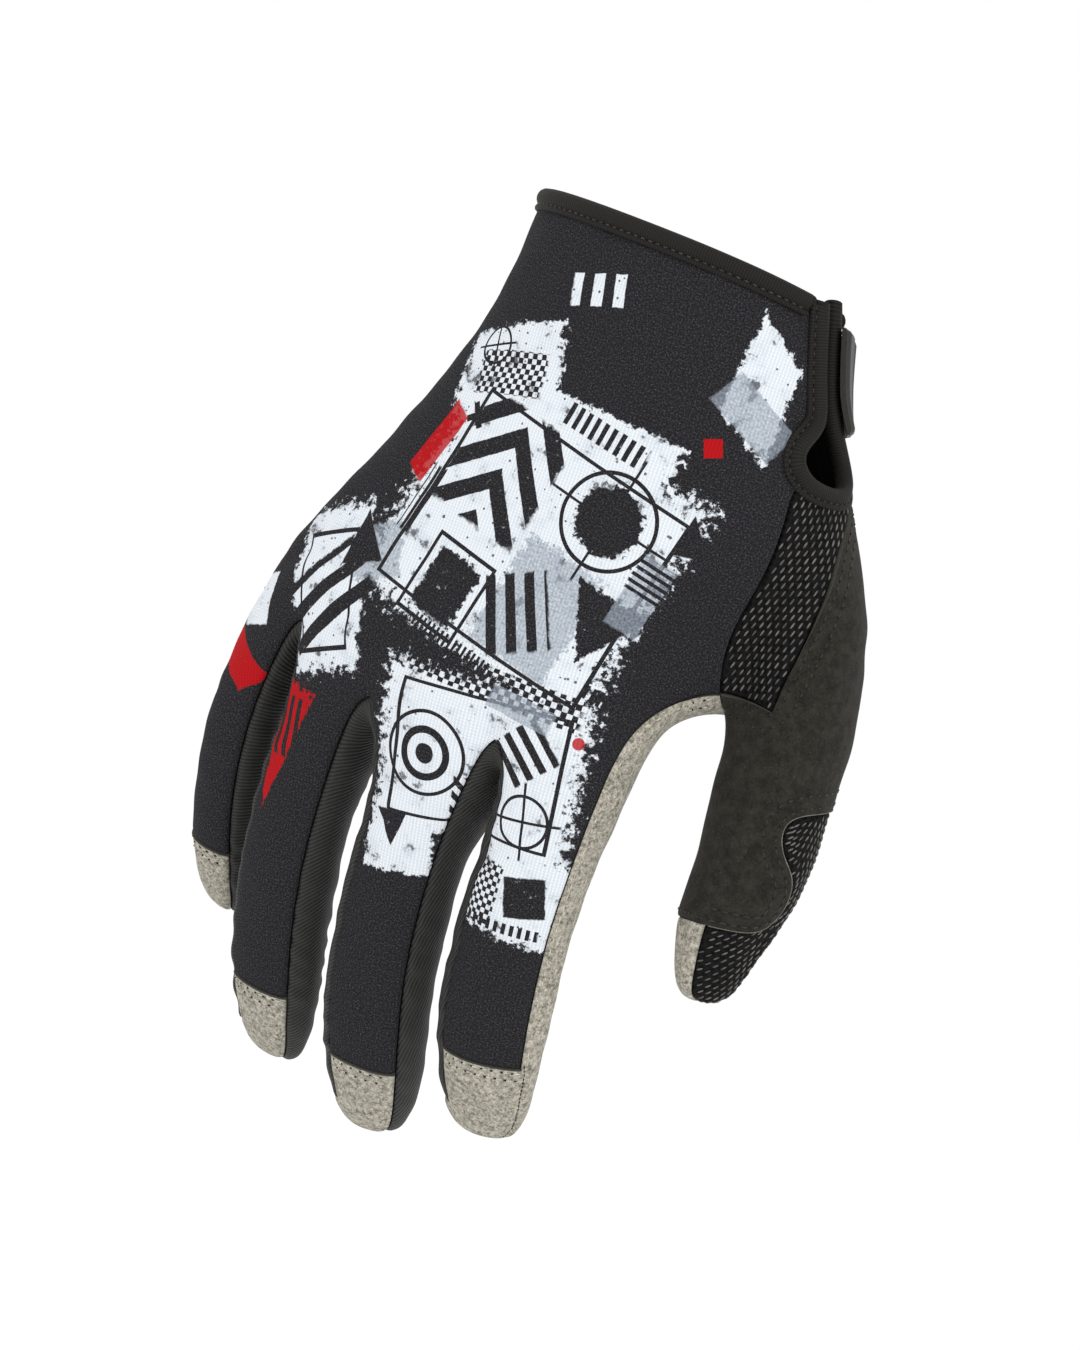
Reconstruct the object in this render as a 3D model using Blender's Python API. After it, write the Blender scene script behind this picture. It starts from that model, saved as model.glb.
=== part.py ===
"""A right-hand motocross glove, filled as if worn, sewn from separate panels.

The fingers point down (-Z), the back of the hand faces -Y, the thumb is on +X and the
origin is the middle of the wrist opening. A coarse cage of quads gives the whole glove's
surface. It is subdivided once, split along its seams into panels, and each panel gets
its own wall. Lengths below are millimetres; the finished meshes are in metres.
"""

import math

import bmesh
import bpy
import numpy as np
from mathutils import Vector
from mathutils.bvhtree import BVHTree

MM = 0.001

# Overall form of the hand
CUFF_WIDTH = 73.0
CUFF_DEPTH = 47.0
KNUCKLE_WIDTH = 102.0
KNUCKLE_DEPTH = 37.0
PALM_LENGTH = 114.0  # cuff edge to the web beside the middle finger
CUFF_TILT = 6.0  # how far the cuff's edge drops from the little finger's side to the thumb's
ULNAR_SHIFT = 22.0  # how far the knuckles lie to the little finger's side
THUMB_OUT = 49.0  # thumb's axis from the wrist's middle, at the thumb's crotch
THUMB_FORWARD = 25.0  # the same, towards the palm
THUMB_WIDTH = 28.0
THUMB_LENGTH = 65.0  # crotch to tip

# Cloth and seams
WALL = 1.3
SEAM_GAP = 0.3
SUEDE_LIFT = 0.5  # how far the thumb's suede stands proud of the mesh beside it
SUEDE_FADE = 0.1  # share of PALM_LENGTH, below the slit, in which that lift grows

# Edge binding
BINDING_CLOTH = 0.8
BINDING_LEG = 3.3
BINDING_CLEAR = 0.65  # room between the binding and the cloth it wraps
BINDING_STEP = 0.8  # least distance between two of its sections

# Wrist closure
STRAP_LENGTH = 62.0
STRAP_WIDTH = 21.0
STRAP_THICKNESS = 2.0
STRAP_TOP = 5.5  # from the cuff edge down to the strap
SLIT_REACH = 4.6  # how far the strap runs on from the slit's edge over the slit
SKEW_SHARE = 0.3  # share of the strap's length in which it turns from the slit's line
EDGE_CLEAR = 4.0  # degrees from the slit's edge to the strap's first section on the cloth
RIB_HEIGHT = 0.7
RIB_COUNT = 5
RIBS_START = 0.06  # share of the strap's length before its ribs
RIBS_SPAN = 0.62  # share of the length that the ribs take
RIB_STEPS = (0.0, 0.15, 0.5, 0.65)  # foot, top, top and foot of a rib, as shares of its pitch
END_STEPS = (0.74, 0.80, 0.86, 0.92, 0.96, 1.0)  # the strap's sections past its ribs
ROUND_FROM = 0.9  # share of the length where the strap's end begins to round off
PATCH_THICKNESS = 1.2
PATCH_LENGTH = 24.0
PATCH_MARGIN = 2.0  # strap beyond the patch, top, bottom and end

# Columns round the hand, dorsal to radial to palmar. Angles are degrees round the
# section, 0 at the back of the hand and 90 at the thumb side.
# name: (angle at the cuff, angle at the knuckles, how far short of PALM_LENGTH the web lies)
DORSAL = [
    ("d0", -76, -80, 0.130),
    ("pinky_top", -58, -56, 0.125),
    ("d1", -40, -34, 0.115),
    ("ring_top", -23, -20, 0.055),
    ("d2", -6, -6, 0.010),
    ("middle_top", 12, 10, -0.010),
    ("d3", 30, 27, 0.025),
    ("index_top", 54, 50, 0.015),
]
PALMAR = [
    ("index_under", 160, 128, -0.020),
    ("p3", 170, 150, -0.060),
    ("middle_under", 185, 170, -0.070),
    ("p2", 200, 189, -0.060),
    ("ring_under", 213, 205, -0.030),
    ("p1", 227, 216, 0.040),
    ("pinky_under", 241, 240, 0.060),
    ("p0", 256, 259, 0.090),
    ("ulnar", 270, 270, 0.110),
]
RADIAL = ["r1", "r2", "r3", "r4", "r5", "r6", "r7"]
EDGE_DROP = 0.045  # the same shortening for d4, p4 and the thumb's columns

# Sections from the cuff to the thumb's crotch.
# down: share of PALM_LENGTH. widen, thin, shift: from the cuff's size (0) to the knuckles' (1).
# lobe: from the wrist (0) to the thumb (1). d4, r1, r2, p4: angles on the thumb's lobe.
# slant: how much of the webs' slant the section takes.
SECTION_COLUMNS = ("down", "widen", "thin", "shift", "lobe", "d4", "r1", "r2", "p4", "slant")
SECTION_ROWS = [
    (0.000, 0.00, 0.00, 0.00, 0.00, 85, 96, 104, 150, 0.0),
    (0.165, 0.04, 0.22, 0.05, 0.13, 87, 98, 107, 153, 0.0),
    (0.240, 0.10, 0.35, 0.10, 0.25, 84, 102, 112, 156, 0.0),
    (0.300, 0.17, 0.45, 0.16, 0.36, 56, 113, 121, 160, 0.05),
    (0.372, 0.25, 0.52, 0.24, 0.48, 50, 94, 105, 163, 0.1),
    (0.450, 0.36, 0.64, 0.35, 0.62, 43, 62, 80, 171, 0.2),
    (0.560, 0.50, 0.76, 0.50, 0.79, 18, 36, 54, 185, 0.35),
    (0.680, 0.66, 0.88, 0.69, 0.92, -18, 4, 25, 203, 0.5),
    (0.790, 0.80, 0.96, 0.86, 1.00, -38, -18, 0, 222, 0.6),
]
SECTIONS = [dict(zip(SECTION_COLUMNS, row)) for row in SECTION_ROWS]
TILT_ENDS = 0.37  # share of PALM_LENGTH where the cuff's slope has died out
SLIT_SECTIONS = 4  # spaces between sections that the wrist's slit runs through

# The hand's two sections below the thumb's crotch, with the same shares as above. d4, side
# and p4 are (x, y) of its thumb side, as shares of half the section's width and depth.
BELOW_COLUMNS = ("down", "widen", "thin", "shift", "slant", "d4", "side", "p4")
BELOW_ROWS = [
    (0.885, 0.92, 0.98, 0.95, 0.8, (1.10, -0.22), (1.05, 0.28), (0.92, 0.80)),
    (1.000, 1.00, 1.00, 1.00, 1.0, (1.02, -0.40), (1.04, 0.08), (0.94, 0.62)),
]
BELOW_CROTCH = [dict(zip(BELOW_COLUMNS, row)) for row in BELOW_ROWS]
CROTCH_TUCK = 1.0  # how far the thumb's web is drawn in, to the palm and to the fingers
SQUARENESS = 0.86  # exponent that fills out the section's corners
WEB_DIP = 2.0  # how far the middle of a web lies towards the tips

# Fingers, in mm and degrees. length: from the web loop to the tip. across: how far the tip
# lies to the thumb side of the root. curl: how far it lies to the palm side. roll: how far
# the finger's top turns to the thumb side. seam: where the top ends at the fourchette,
# round the finger. cap: where the fingertip's cap starts, as a share of the length.
FINGER_COLUMNS = ("name", "length", "across", "curl", "width", "depth", "roll", "seam", "cap")
FINGER_ROWS = [
    ("pinky", 75, -10.8, 31, 18.0, 17.0, -8, 44, 0.78),
    ("ring", 95, -9.6, 37, 24.4, 19.0, -4, 44, 0.81),
    ("middle", 97, -10.3, 40, 25.0, 20.5, 10, 44, 0.82),
    ("index", 90, -9.8, 33, 25.0, 20.0, 8, 64, 0.77),
]
FINGERS = [dict(zip(FINGER_COLUMNS, row)) for row in FINGER_ROWS]
CURL_BEND = 1.8  # exponent of the curl: 1 is straight, more bends the end
CURL_SHORTENS = 0.9  # share of the curl that comes off the finger's reach
UNDER_SEAM = 136  # where the fourchette meets the palm's piece, round the finger
CORNER_FILL = 1.05  # makes up for what the smoothing takes off a finger's corners
TIP_BULGE = 0.6
# Stations along a finger: share of its length, of its width and of its depth. The cap's
# seam takes the finger's own share.
FINGER_STATIONS = [
    dict(along=0.20, width=1.02, depth=1.00),
    dict(along=0.42, width=1.05, depth=0.97),
    dict(along=0.62, width=1.06, depth=0.92),
    dict(along=None, width=1.04, depth=0.82),
    dict(along=0.94, width=0.85, depth=0.60),
    dict(along=1.00, width=0.50, depth=0.28),
]
CAP_STATION = 4  # the fingertip cap starts at this station
# Stations along the thumb: share of its length, mm that its middle is set outwards, and
# shares of its width and of its depth.
THUMB_STATIONS = [
    dict(along=0.26, out=1.2, width=0.94, depth=0.97),
    dict(along=0.44, out=2.5, width=0.97, depth=0.94),
    dict(along=0.61, out=1.4, width=0.87, depth=0.86),
    dict(along=0.78, out=-0.6, width=0.77, depth=0.74),
    dict(along=0.93, out=-1.2, width=0.59, depth=0.50),
    dict(along=1.00, out=-1.0, width=0.37, depth=0.22),
]
THUMB_LEAN = (0.0, 6.0)  # tip from the root, outwards and to the palm
THUMB_ANGLES = dict(side=-92, d4=-56, r1=-24, r2=4, r3=32, r4=70, r5=108, r6=145, r7=184, p4=226)
KNUCKLE_TWIST = 70  # how far the mesh window's edge turns round the thumb on its way to the tip
MESH_WINDOW = [(), ("r3", "r4", "r5"), ("r4", "r5"), ("r4", "r5")]  # columns, by station
# the suede's edge on the thumb leaves the grid: mm towards the tip, and degrees round the thumb
THUMB_SHIFTS = {
    (0, "r2"): (3.5, 0),
    (0, "r3"): (7.0, -3),
    (0, "r4"): (3.5, 0),
    (0, "r5"): (1.5, 0),
    (1, "r3"): (-1.0, 15),
    (1, "r4"): (4.5, -15),
    (2, "r4"): (-1.0, -4),
    (3, "side"): (-2.5, 0),
    (3, "d4"): (-2.5, 0),
    (3, "r1"): (-4.0, 0),
    (3, "r2"): (-4.0, -10),
    (3, "r3"): (-5.0, 0),
    (3, "r4"): (-8.0, -6),
}
THUMB_ROLL = 62  # where the thumb's flat back faces, degrees from the back of the hand

PANELS = [
    "back_panel",
    "palm_panel",
    "fourchette_pinky_ring",
    "fourchette_ring_middle",
    "fourchette_middle_index",
    "wrist_mesh_gusset",
    "thumb_suede",
    "thumb_mesh",
]
PATCH_STEPS = 5

# Plain looks for the part: colour and roughness
BINDING_LOOK = ((0.015, 0.015, 0.015), 0.8)
STRAP_LOOK = ((0.04, 0.04, 0.038), 0.5)
PATCH_LOOK = ((0.02, 0.02, 0.02), 0.95)
CLOTH_LOOKS = {
    "back_panel": ((0.03, 0.028, 0.032), 0.8),
    "palm_panel": ((0.27, 0.26, 0.22), 0.95),
    "fourchette_pinky_ring": ((0.02, 0.02, 0.02), 0.85),
    "fourchette_ring_middle": ((0.02, 0.02, 0.02), 0.85),
    "fourchette_middle_index": ((0.02, 0.02, 0.02), 0.85),
    "wrist_mesh_gusset": ((0.03, 0.03, 0.03), 0.75),
    "thumb_suede": ((0.025, 0.025, 0.02), 0.95),
    "thumb_mesh": ((0.03, 0.03, 0.03), 0.75),
}


def mix(a, b, t):
    return a + (b - a) * t


def on_oval(angle, half_width, half_depth):
    """A point of the section's oval, from the angle off the back of the hand."""
    s = math.sin(math.radians(angle))
    c = math.cos(math.radians(angle))
    x = math.copysign(abs(s) ** SQUARENESS, s) * half_width
    y = -math.copysign(abs(c) ** SQUARENESS, c) * half_depth
    return np.array([x, y])


def palm_oval(section):
    """Half width, half depth and middle of the hand's own oval at a section."""
    half_width = mix(CUFF_WIDTH, KNUCKLE_WIDTH, section["widen"]) / 2
    half_depth = mix(CUFF_DEPTH, KNUCKLE_DEPTH, section["thin"]) / 2
    return half_width, half_depth, -ULNAR_SHIFT * section["shift"]


def height(section, drop):
    """The cuff's slope dies out by the slit's foot, where the hand hangs from its high side."""
    level = min(1.0, section["down"] / TILT_ENDS) * CUFF_TILT / 2
    return level - PALM_LENGTH * section["down"] * (1 - section["slant"] * drop)


def cuff_slope(section, x):
    return -CUFF_TILT * x / CUFF_WIDTH * max(0.0, 1 - section["down"] / TILT_ENDS)


def hand_points(section, columns):
    """The named points that lie on the hand's own oval."""
    half_width, half_depth, middle = palm_oval(section)
    t = min(1.0, section["down"])
    points = {}
    for name, cuff_angle, web_angle, drop in columns:
        x, y = on_oval(mix(cuff_angle, web_angle, t), half_width, half_depth)
        points[name] = np.array([middle + x, y, height(section, drop)])
    return points


def lobe_points(section):
    """d4, r1 to r7 and p4: they run round the thumb's side of the hand."""
    half_width, half_depth, middle = palm_oval(section)
    t = section["lobe"]
    width = mix(CUFF_WIDTH / 2, THUMB_WIDTH / 2, t)
    depth = mix(CUFF_DEPTH / 2, THUMB_WIDTH / 2, t)
    angles = [section["d4"], section["r1"], section["r2"]]
    rest = np.linspace(section["r2"], section["p4"], len(RADIAL))[1:]
    points = {}
    for name, angle in zip(["d4"] + RADIAL + ["p4"], angles + list(rest)):
        x, y = on_oval(angle, width, depth)
        level = height(section, EDGE_DROP)
        points[name] = np.array([x + THUMB_OUT * t, y + THUMB_FORWARD * t, level])
    return points


class Cage:
    """Vertices by name, and quads with the panel each belongs to."""

    def __init__(self):
        self.points = []
        self.index = {}
        self.faces = []
        self.panels = []

    def add(self, key, point):
        self.index[key] = len(self.points)
        self.points.append(np.asarray(point, float))

    def quad(self, keys, panel):
        self.faces.append([self.index[key] for key in keys])
        self.panels.append(PANELS.index(panel))

    def at(self, key):
        return self.points[self.index[key]]


def hand_columns():
    names = [c[0] for c in DORSAL] + ["d4"] + RADIAL + ["p4"] + [c[0] for c in PALMAR]
    return names


def hand_panel(column, row):
    """The panel of the hand's quad between this column and the next."""
    if column in [c[0] for c in DORSAL]:
        return "back_panel"
    if column in ("d4", "r1") and row >= SLIT_SECTIONS:
        return "wrist_mesh_gusset"
    if column == "d4":
        return None
    if column == "r1":
        return "thumb_suede"
    if column in ("r2", "r3", "r4", "r5"):
        return "thumb_suede"
    return "palm_panel"


def build_hand(cage):
    columns = hand_columns()
    for row, section in enumerate(SECTIONS):
        points = hand_points(section, DORSAL + PALMAR) | lobe_points(section)
        for name in columns:
            slope = cuff_slope(section, points[name][0])
            cage.add((row, name), points[name] + np.array([0, 0, slope]))
    for row in range(len(SECTIONS) - 1):
        for a, b in zip(columns, columns[1:] + columns[:1]):
            panel = hand_panel(a, row)
            if panel:
                cage.quad([(row, a), (row + 1, a), (row + 1, b), (row, b)], panel)


def build_below_crotch(cage):
    """The hand from the thumb's crotch to the webs: 'side' takes the place of r1 to r7."""
    crotch = len(SECTIONS) - 1
    middle = cage.at((crotch, "d4")) * 0.5 + cage.at((crotch, "p4")) * 0.5
    inner = np.array([middle[0] - CROTCH_TUCK, middle[1] - CROTCH_TUCK, middle[2] - WEB_DIP])
    cage.add((crotch, "side"), inner)
    columns = [c[0] for c in DORSAL] + ["d4", "side", "p4"] + [c[0] for c in PALMAR]
    for step, section in enumerate(BELOW_CROTCH):
        row = crotch + 1 + step
        half_width, half_depth, shift = palm_oval(section)
        points = hand_points(section, DORSAL + PALMAR)
        for name in ("d4", "side", "p4"):
            x, y = section[name]
            level = height(section, EDGE_DROP)
            points[name] = np.array([shift + x * half_width, y * half_depth, level])
        for name in columns:
            cage.add((row, name), points[name])
        for a, b in zip(columns, columns[1:] + columns[:1]):
            panel = "back_panel" if a in [c[0] for c in DORSAL] else "palm_panel"
            cage.quad([(row - 1, a), (row, a), (row, b), (row - 1, b)], panel)


def frame_at(tangent, roll):
    """Sideways and upward directions of a finger's section, turned by its roll."""
    back = np.array([0.0, -1.0, 0.0])
    up = back - tangent * back.dot(tangent)
    up /= np.linalg.norm(up)
    side = np.cross(up, tangent)
    if side[0] < 0:
        side = -side
    turn = math.radians(roll)
    return side * math.cos(turn) - up * math.sin(turn), up * math.cos(turn) + side * math.sin(turn)


def curved_axis(root, lean, length, curl, along):
    """A point of a finger's middle line, and the line's direction there."""
    x = lean * along * (2 - along)
    y = curl * along**CURL_BEND
    slope = curl * CURL_BEND * along ** (CURL_BEND - 1)
    reach = math.sqrt(length**2 - (curl * CURL_SHORTENS) ** 2)
    point = root + np.array([x, y, -reach * along])
    tangent = np.array([lean * (2 - 2 * along), slope, -reach])
    return point, tangent / np.linalg.norm(tangent)


FINGER_CORNERS = ["left_top", "top", "right_top", "right", "right_under", "under", "left_under", "left"]


def corner_places(seam):
    """Where a finger's eight corners lie, as shares of half its width and depth."""
    angles = [-44, 0, seam, (seam + UNDER_SEAM) / 2, UNDER_SEAM, 180, 360 - UNDER_SEAM, 270]
    return [on_oval(angle, CORNER_FILL, -CORNER_FILL) for angle in angles]


def build_webs(cage):
    """The middle of each web between two fingers, and the outer sides of the webs' row."""
    web = len(SECTIONS) - 1 + len(BELOW_CROTCH)
    for number in (1, 2, 3):
        middle = cage.at((web, f"d{number}")) * 0.5 + cage.at((web, f"p{number}")) * 0.5
        cage.add((web, f"w{number}"), middle - np.array([0, 0, WEB_DIP]))
    cage.index[(web, "w0")] = cage.index[(web, "ulnar")]
    cage.index[(web, "w4")] = cage.index[(web, "side")]
    return web


def finger_panel(number, corner, station):
    """A fourchette reaches the tip on its first finger, and the cap's middle on its second."""
    if corner in ("right_top", "right") and number < 3:
        return PANELS[2 + number]
    if corner in ("left_under", "left") and number > 0 and station <= CAP_STATION:
        return PANELS[1 + number]
    if station >= CAP_STATION:
        return "palm_panel"
    if corner in ("left_top", "top", "left"):
        return "back_panel"
    return "palm_panel"


def build_finger(cage, number, finger, web):
    name = finger["name"]
    first = [
        (web, f"d{number}"),
        (web, f"{name}_top"),
        (web, f"d{number + 1}"),
        (web, f"w{number + 1}"),
        (web, f"p{number + 1}"),
        (web, f"{name}_under"),
        (web, f"p{number}"),
        (web, f"w{number}"),
    ]
    root = sum(cage.at(key) for key in first) / len(first)
    loop = first
    for station, row in enumerate(FINGER_STATIONS):
        along = row["along"] or finger["cap"]
        centre, tangent = curved_axis(root, finger["across"], finger["length"], finger["curl"], along)
        side, up = frame_at(tangent, finger["roll"])
        half = np.array([finger["width"] * row["width"], finger["depth"] * row["depth"]]) / 2
        keys = []
        for corner, (across, high) in zip(FINGER_CORNERS, corner_places(finger["seam"])):
            key = (name, station, corner)
            cage.add(key, centre + side * across * half[0] + up * high * half[1])
            keys.append(key)
        for k, corner in enumerate(FINGER_CORNERS):
            after = (k + 1) % len(FINGER_CORNERS)
            panel = finger_panel(number, corner, station)
            cage.quad([loop[k], keys[k], keys[after], loop[after]], panel)
        loop = keys
    tip = curved_axis(root, finger["across"], finger["length"], finger["curl"], 1.0)
    cage.add((name, "tip"), tip[0] + tip[1] * TIP_BULGE)
    for k in (1, 3, 5, 7):
        panel = finger_panel(number, FINGER_CORNERS[k], CAP_STATION + 1)
        cage.quad([loop[(k + 1) % 8], loop[k], loop[k - 1], (name, "tip")], panel)


def thumb_panel(a, station):
    palm_side = ("r6", "r7", "p4")
    if a in palm_side:
        return "palm_panel"
    if station >= 4:
        return "palm_panel" if a in ("side", "d4", "r1") else "thumb_mesh"
    if a in MESH_WINDOW[station]:
        return "thumb_mesh"
    return "thumb_suede"


def build_thumb(cage):
    crotch = len(SECTIONS) - 1
    names = ["side", "d4"] + RADIAL + ["p4"]
    loop = [(crotch, name) for name in names]
    root = np.array([THUMB_OUT, THUMB_FORWARD, height(SECTIONS[-1], EDGE_DROP)])
    for station, row in enumerate(THUMB_STATIONS):
        centre, tangent = curved_axis(root, THUMB_LEAN[0], THUMB_LENGTH, THUMB_LEAN[1], row["along"])
        centre = centre + np.array([row["out"], 0, 0])
        side, up = frame_at(tangent, THUMB_ROLL)
        flat, tall = frame_at(tangent, 0)
        keys = []
        for name in names:
            twist = KNUCKLE_TWIST * (row["along"] - 0.3) if name in ("r3", "r4") else 0
            shift, turn = THUMB_SHIFTS.get((station, name), (0, 0))
            angle = math.radians(THUMB_ANGLES[name] + twist + turn)
            way = flat * math.sin(angle) + tall * math.cos(angle)
            across = way.dot(side) * THUMB_WIDTH / 2 * row["width"]
            high = way.dot(up) * THUMB_WIDTH / 2 * row["depth"]
            key = ("thumb", station, name)
            cage.add(key, centre + tangent * shift + side * across + up * high)
            keys.append(key)
        for k, name in enumerate(names):
            after = (k + 1) % len(names)
            cage.quad([loop[k], keys[k], keys[after], loop[after]], thumb_panel(name, station))
        loop = keys
    tangent = curved_axis(root, THUMB_LEAN[0], THUMB_LENGTH, THUMB_LEAN[1], 1.0)[1]
    low = (cage.at(loop[1]) + cage.at(loop[8])) / 2
    high = (cage.at(loop[3]) + cage.at(loop[6])) / 2
    cage.add(("thumb", "tip_a"), mix(low, high, 0.33) + tangent * TIP_BULGE)
    cage.add(("thumb", "tip_b"), mix(low, high, 0.67) + tangent * TIP_BULGE)
    tip_a = ("thumb", "tip_a")
    tip_b = ("thumb", "tip_b")
    grid = [
        [loop[1], loop[2], loop[3], loop[4]],
        [loop[0], tip_a, tip_b, loop[5]],
        [loop[9], loop[8], loop[7], loop[6]],
    ]
    for line, following in zip(grid, grid[1:]):
        for k in range(3):
            panel = "thumb_mesh" if line is grid[0] and k == 2 else "palm_panel"
            cage.quad([line[k], following[k], following[k + 1], line[k + 1]], panel)


def build_cage():
    cage = Cage()
    build_hand(cage)
    build_below_crotch(cage)
    web = build_webs(cage)
    for number, finger in enumerate(FINGERS):
        build_finger(cage, number, finger, web)
    build_thumb(cage)
    return cage


def smooth_surface(cage, levels):
    """The cage subdivided: a mesh in metres whose material index is the panel."""
    mesh = bpy.data.meshes.new("glove_surface")
    mesh.from_pydata([tuple(p * MM) for p in cage.points], [], cage.faces)
    mesh.polygons.foreach_set("material_index", cage.panels)
    for _ in PANELS:
        mesh.materials.append(None)
    helper = bpy.data.objects.new("glove_surface", mesh)
    bpy.context.scene.collection.objects.link(helper)
    smooth = helper.modifiers.new("Smooth", "SUBSURF")
    smooth.boundary_smooth = "PRESERVE_CORNERS"
    smooth.levels = levels
    smooth.render_levels = levels
    graph = bpy.context.evaluated_depsgraph_get()
    finished = bpy.data.meshes.new_from_object(helper.evaluated_get(graph))
    bpy.data.objects.remove(helper)
    return finished


def read_surface(mesh):
    """The surface as arrays in millimetres: points, normals, faces and each face's panel."""
    points = np.array([v.co for v in mesh.vertices]) / MM
    normals = np.array([v.normal for v in mesh.vertices])
    faces = [list(p.vertices) for p in mesh.polygons]
    panels = [p.material_index for p in mesh.polygons]
    return points, normals, faces, panels


def open_edges(faces):
    """The directed edges of these faces that no other of them shares."""
    edges = {(a, b) for face in faces for a, b in zip(face, face[1:] + face[:1])}
    return [(a, b) for a, b in edges if (b, a) not in edges]


def inward_ways(points, normals, border):
    """At each border vertex, the direction into the cloth along the surface, mitred."""
    ways = {}
    for a, b in border:
        along = points[b] - points[a]
        inward = np.cross(normals[a] + normals[b], along)
        inward /= np.linalg.norm(inward)
        for v in (a, b):
            ways.setdefault(v, []).append(inward)
    return {v: sum(found) / (1 + found[0].dot(found[-1])) for v, found in ways.items()}


def solid_object(name, points, faces, colour, roughness):
    """One closed mesh object, in metres, with a plain material."""
    mesh = bpy.data.meshes.new(name)
    mesh.from_pydata([tuple(p * MM) for p in points], [], faces)
    shape = bmesh.new()
    shape.from_mesh(mesh)
    bmesh.ops.recalc_face_normals(shape, faces=shape.faces)
    shape.to_mesh(mesh)
    shape.free()
    mesh.shade_smooth()
    mesh.set_sharp_from_angle(angle=math.radians(40))
    material = bpy.data.materials.new(name)
    material.use_nodes = True
    shader = material.node_tree.nodes["Principled BSDF"]
    shader.inputs["Base Color"].default_value = (*colour, 1.0)
    shader.inputs["Roughness"].default_value = roughness
    mesh.materials.append(material)
    made = bpy.data.objects.new(name, mesh)
    bpy.context.scene.collection.objects.link(made)
    return made


def build_panel(name, surface, colour, roughness):
    """A panel of the surface with its own wall, half a seam gap back from its neighbours."""
    points, normals, faces, panels = surface
    own = [face for face, panel in zip(faces, panels) if panel == PANELS.index(name)]
    border = open_edges(own)
    ways = inward_ways(points, normals, border)
    used = sorted({v for face in own for v in face})
    number = {v: k for k, v in enumerate(used)}
    outer = []
    inner = []
    for v in used:
        way = ways.get(v, np.zeros(3))
        place = points[v] + way * SEAM_GAP / 2
        proud = 0.0
        if name == "thumb_suede":
            below = (-place[2] / PALM_LENGTH - TILT_ENDS) / SUEDE_FADE
            proud = SUEDE_LIFT * min(1.0, max(0.0, below))
        outer.append(place + normals[v] * proud)
        inner.append(place + way * SEAM_GAP / 2 + normals[v] * (proud - WALL))
    count = len(used)
    solid = [[number[v] for v in face] for face in own]
    solid += [[number[v] + count for v in reversed(face)] for face in own]
    for a, b in border:
        solid.append([number[b], number[a], number[a] + count, number[b] + count])
    return solid_object(name, outer + inner, solid, colour, roughness)


def wrist_edges(surface, cage):
    """The open edge of the whole glove as two paths: round the cuff, and round the slit."""
    points, normals, faces, panels = surface
    border = open_edges(faces)
    ways = inward_ways(points, normals, border)
    follow = dict(border)
    corner = cage.at((0, "d4"))
    start = min(follow, key=lambda v: np.linalg.norm(points[v] - corner))
    corner = cage.at((0, "r1"))
    turn = min(follow, key=lambda v: np.linalg.norm(points[v] - corner))
    loop = [start]
    while follow[loop[-1]] != start:
        loop.append(follow[loop[-1]])
    at = loop.index(turn)
    legs = [loop[: at + 1], loop[at:] + [start]]
    slit, cuff = sorted(legs, key=lambda leg: min(points[v][2] for v in leg))
    return slit, cuff, ways


def trimmed(values, lengths, places):
    """Rows of values read off at these lengths along a path, run on straight past its ends."""
    rows = []
    for place in places:
        k = int(np.clip(np.searchsorted(lengths, place) - 1, 0, len(lengths) - 2))
        share = (place - lengths[k]) / (lengths[k + 1] - lengths[k])
        rows.append(mix(values[k], values[k + 1], share))
    return rows


def binding_profile(leg, bends):
    """A strip folded over the cloth's edge: (out of the surface, into the cloth)."""
    clear = BINDING_CLEAR
    out = clear + BINDING_CLOTH
    under = -WALL - clear
    round_off = BINDING_CLOTH * 0.7
    down = [leg * (bends - k) / bends for k in range(bends)]
    up = down[::-1]
    profile = [(out, v) for v in down]
    profile += [
        (out, 0.0),
        (out - round_off, -out),
        (under - BINDING_CLOTH + round_off, -out),
        (under - BINDING_CLOTH, 0.0),
    ]
    profile += [(under - BINDING_CLOTH, v) for v in up]
    profile += [(under, v) for v in down]
    profile += [(under, -clear), (clear, -clear)]
    return profile + [(clear, v) for v in up]


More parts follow.
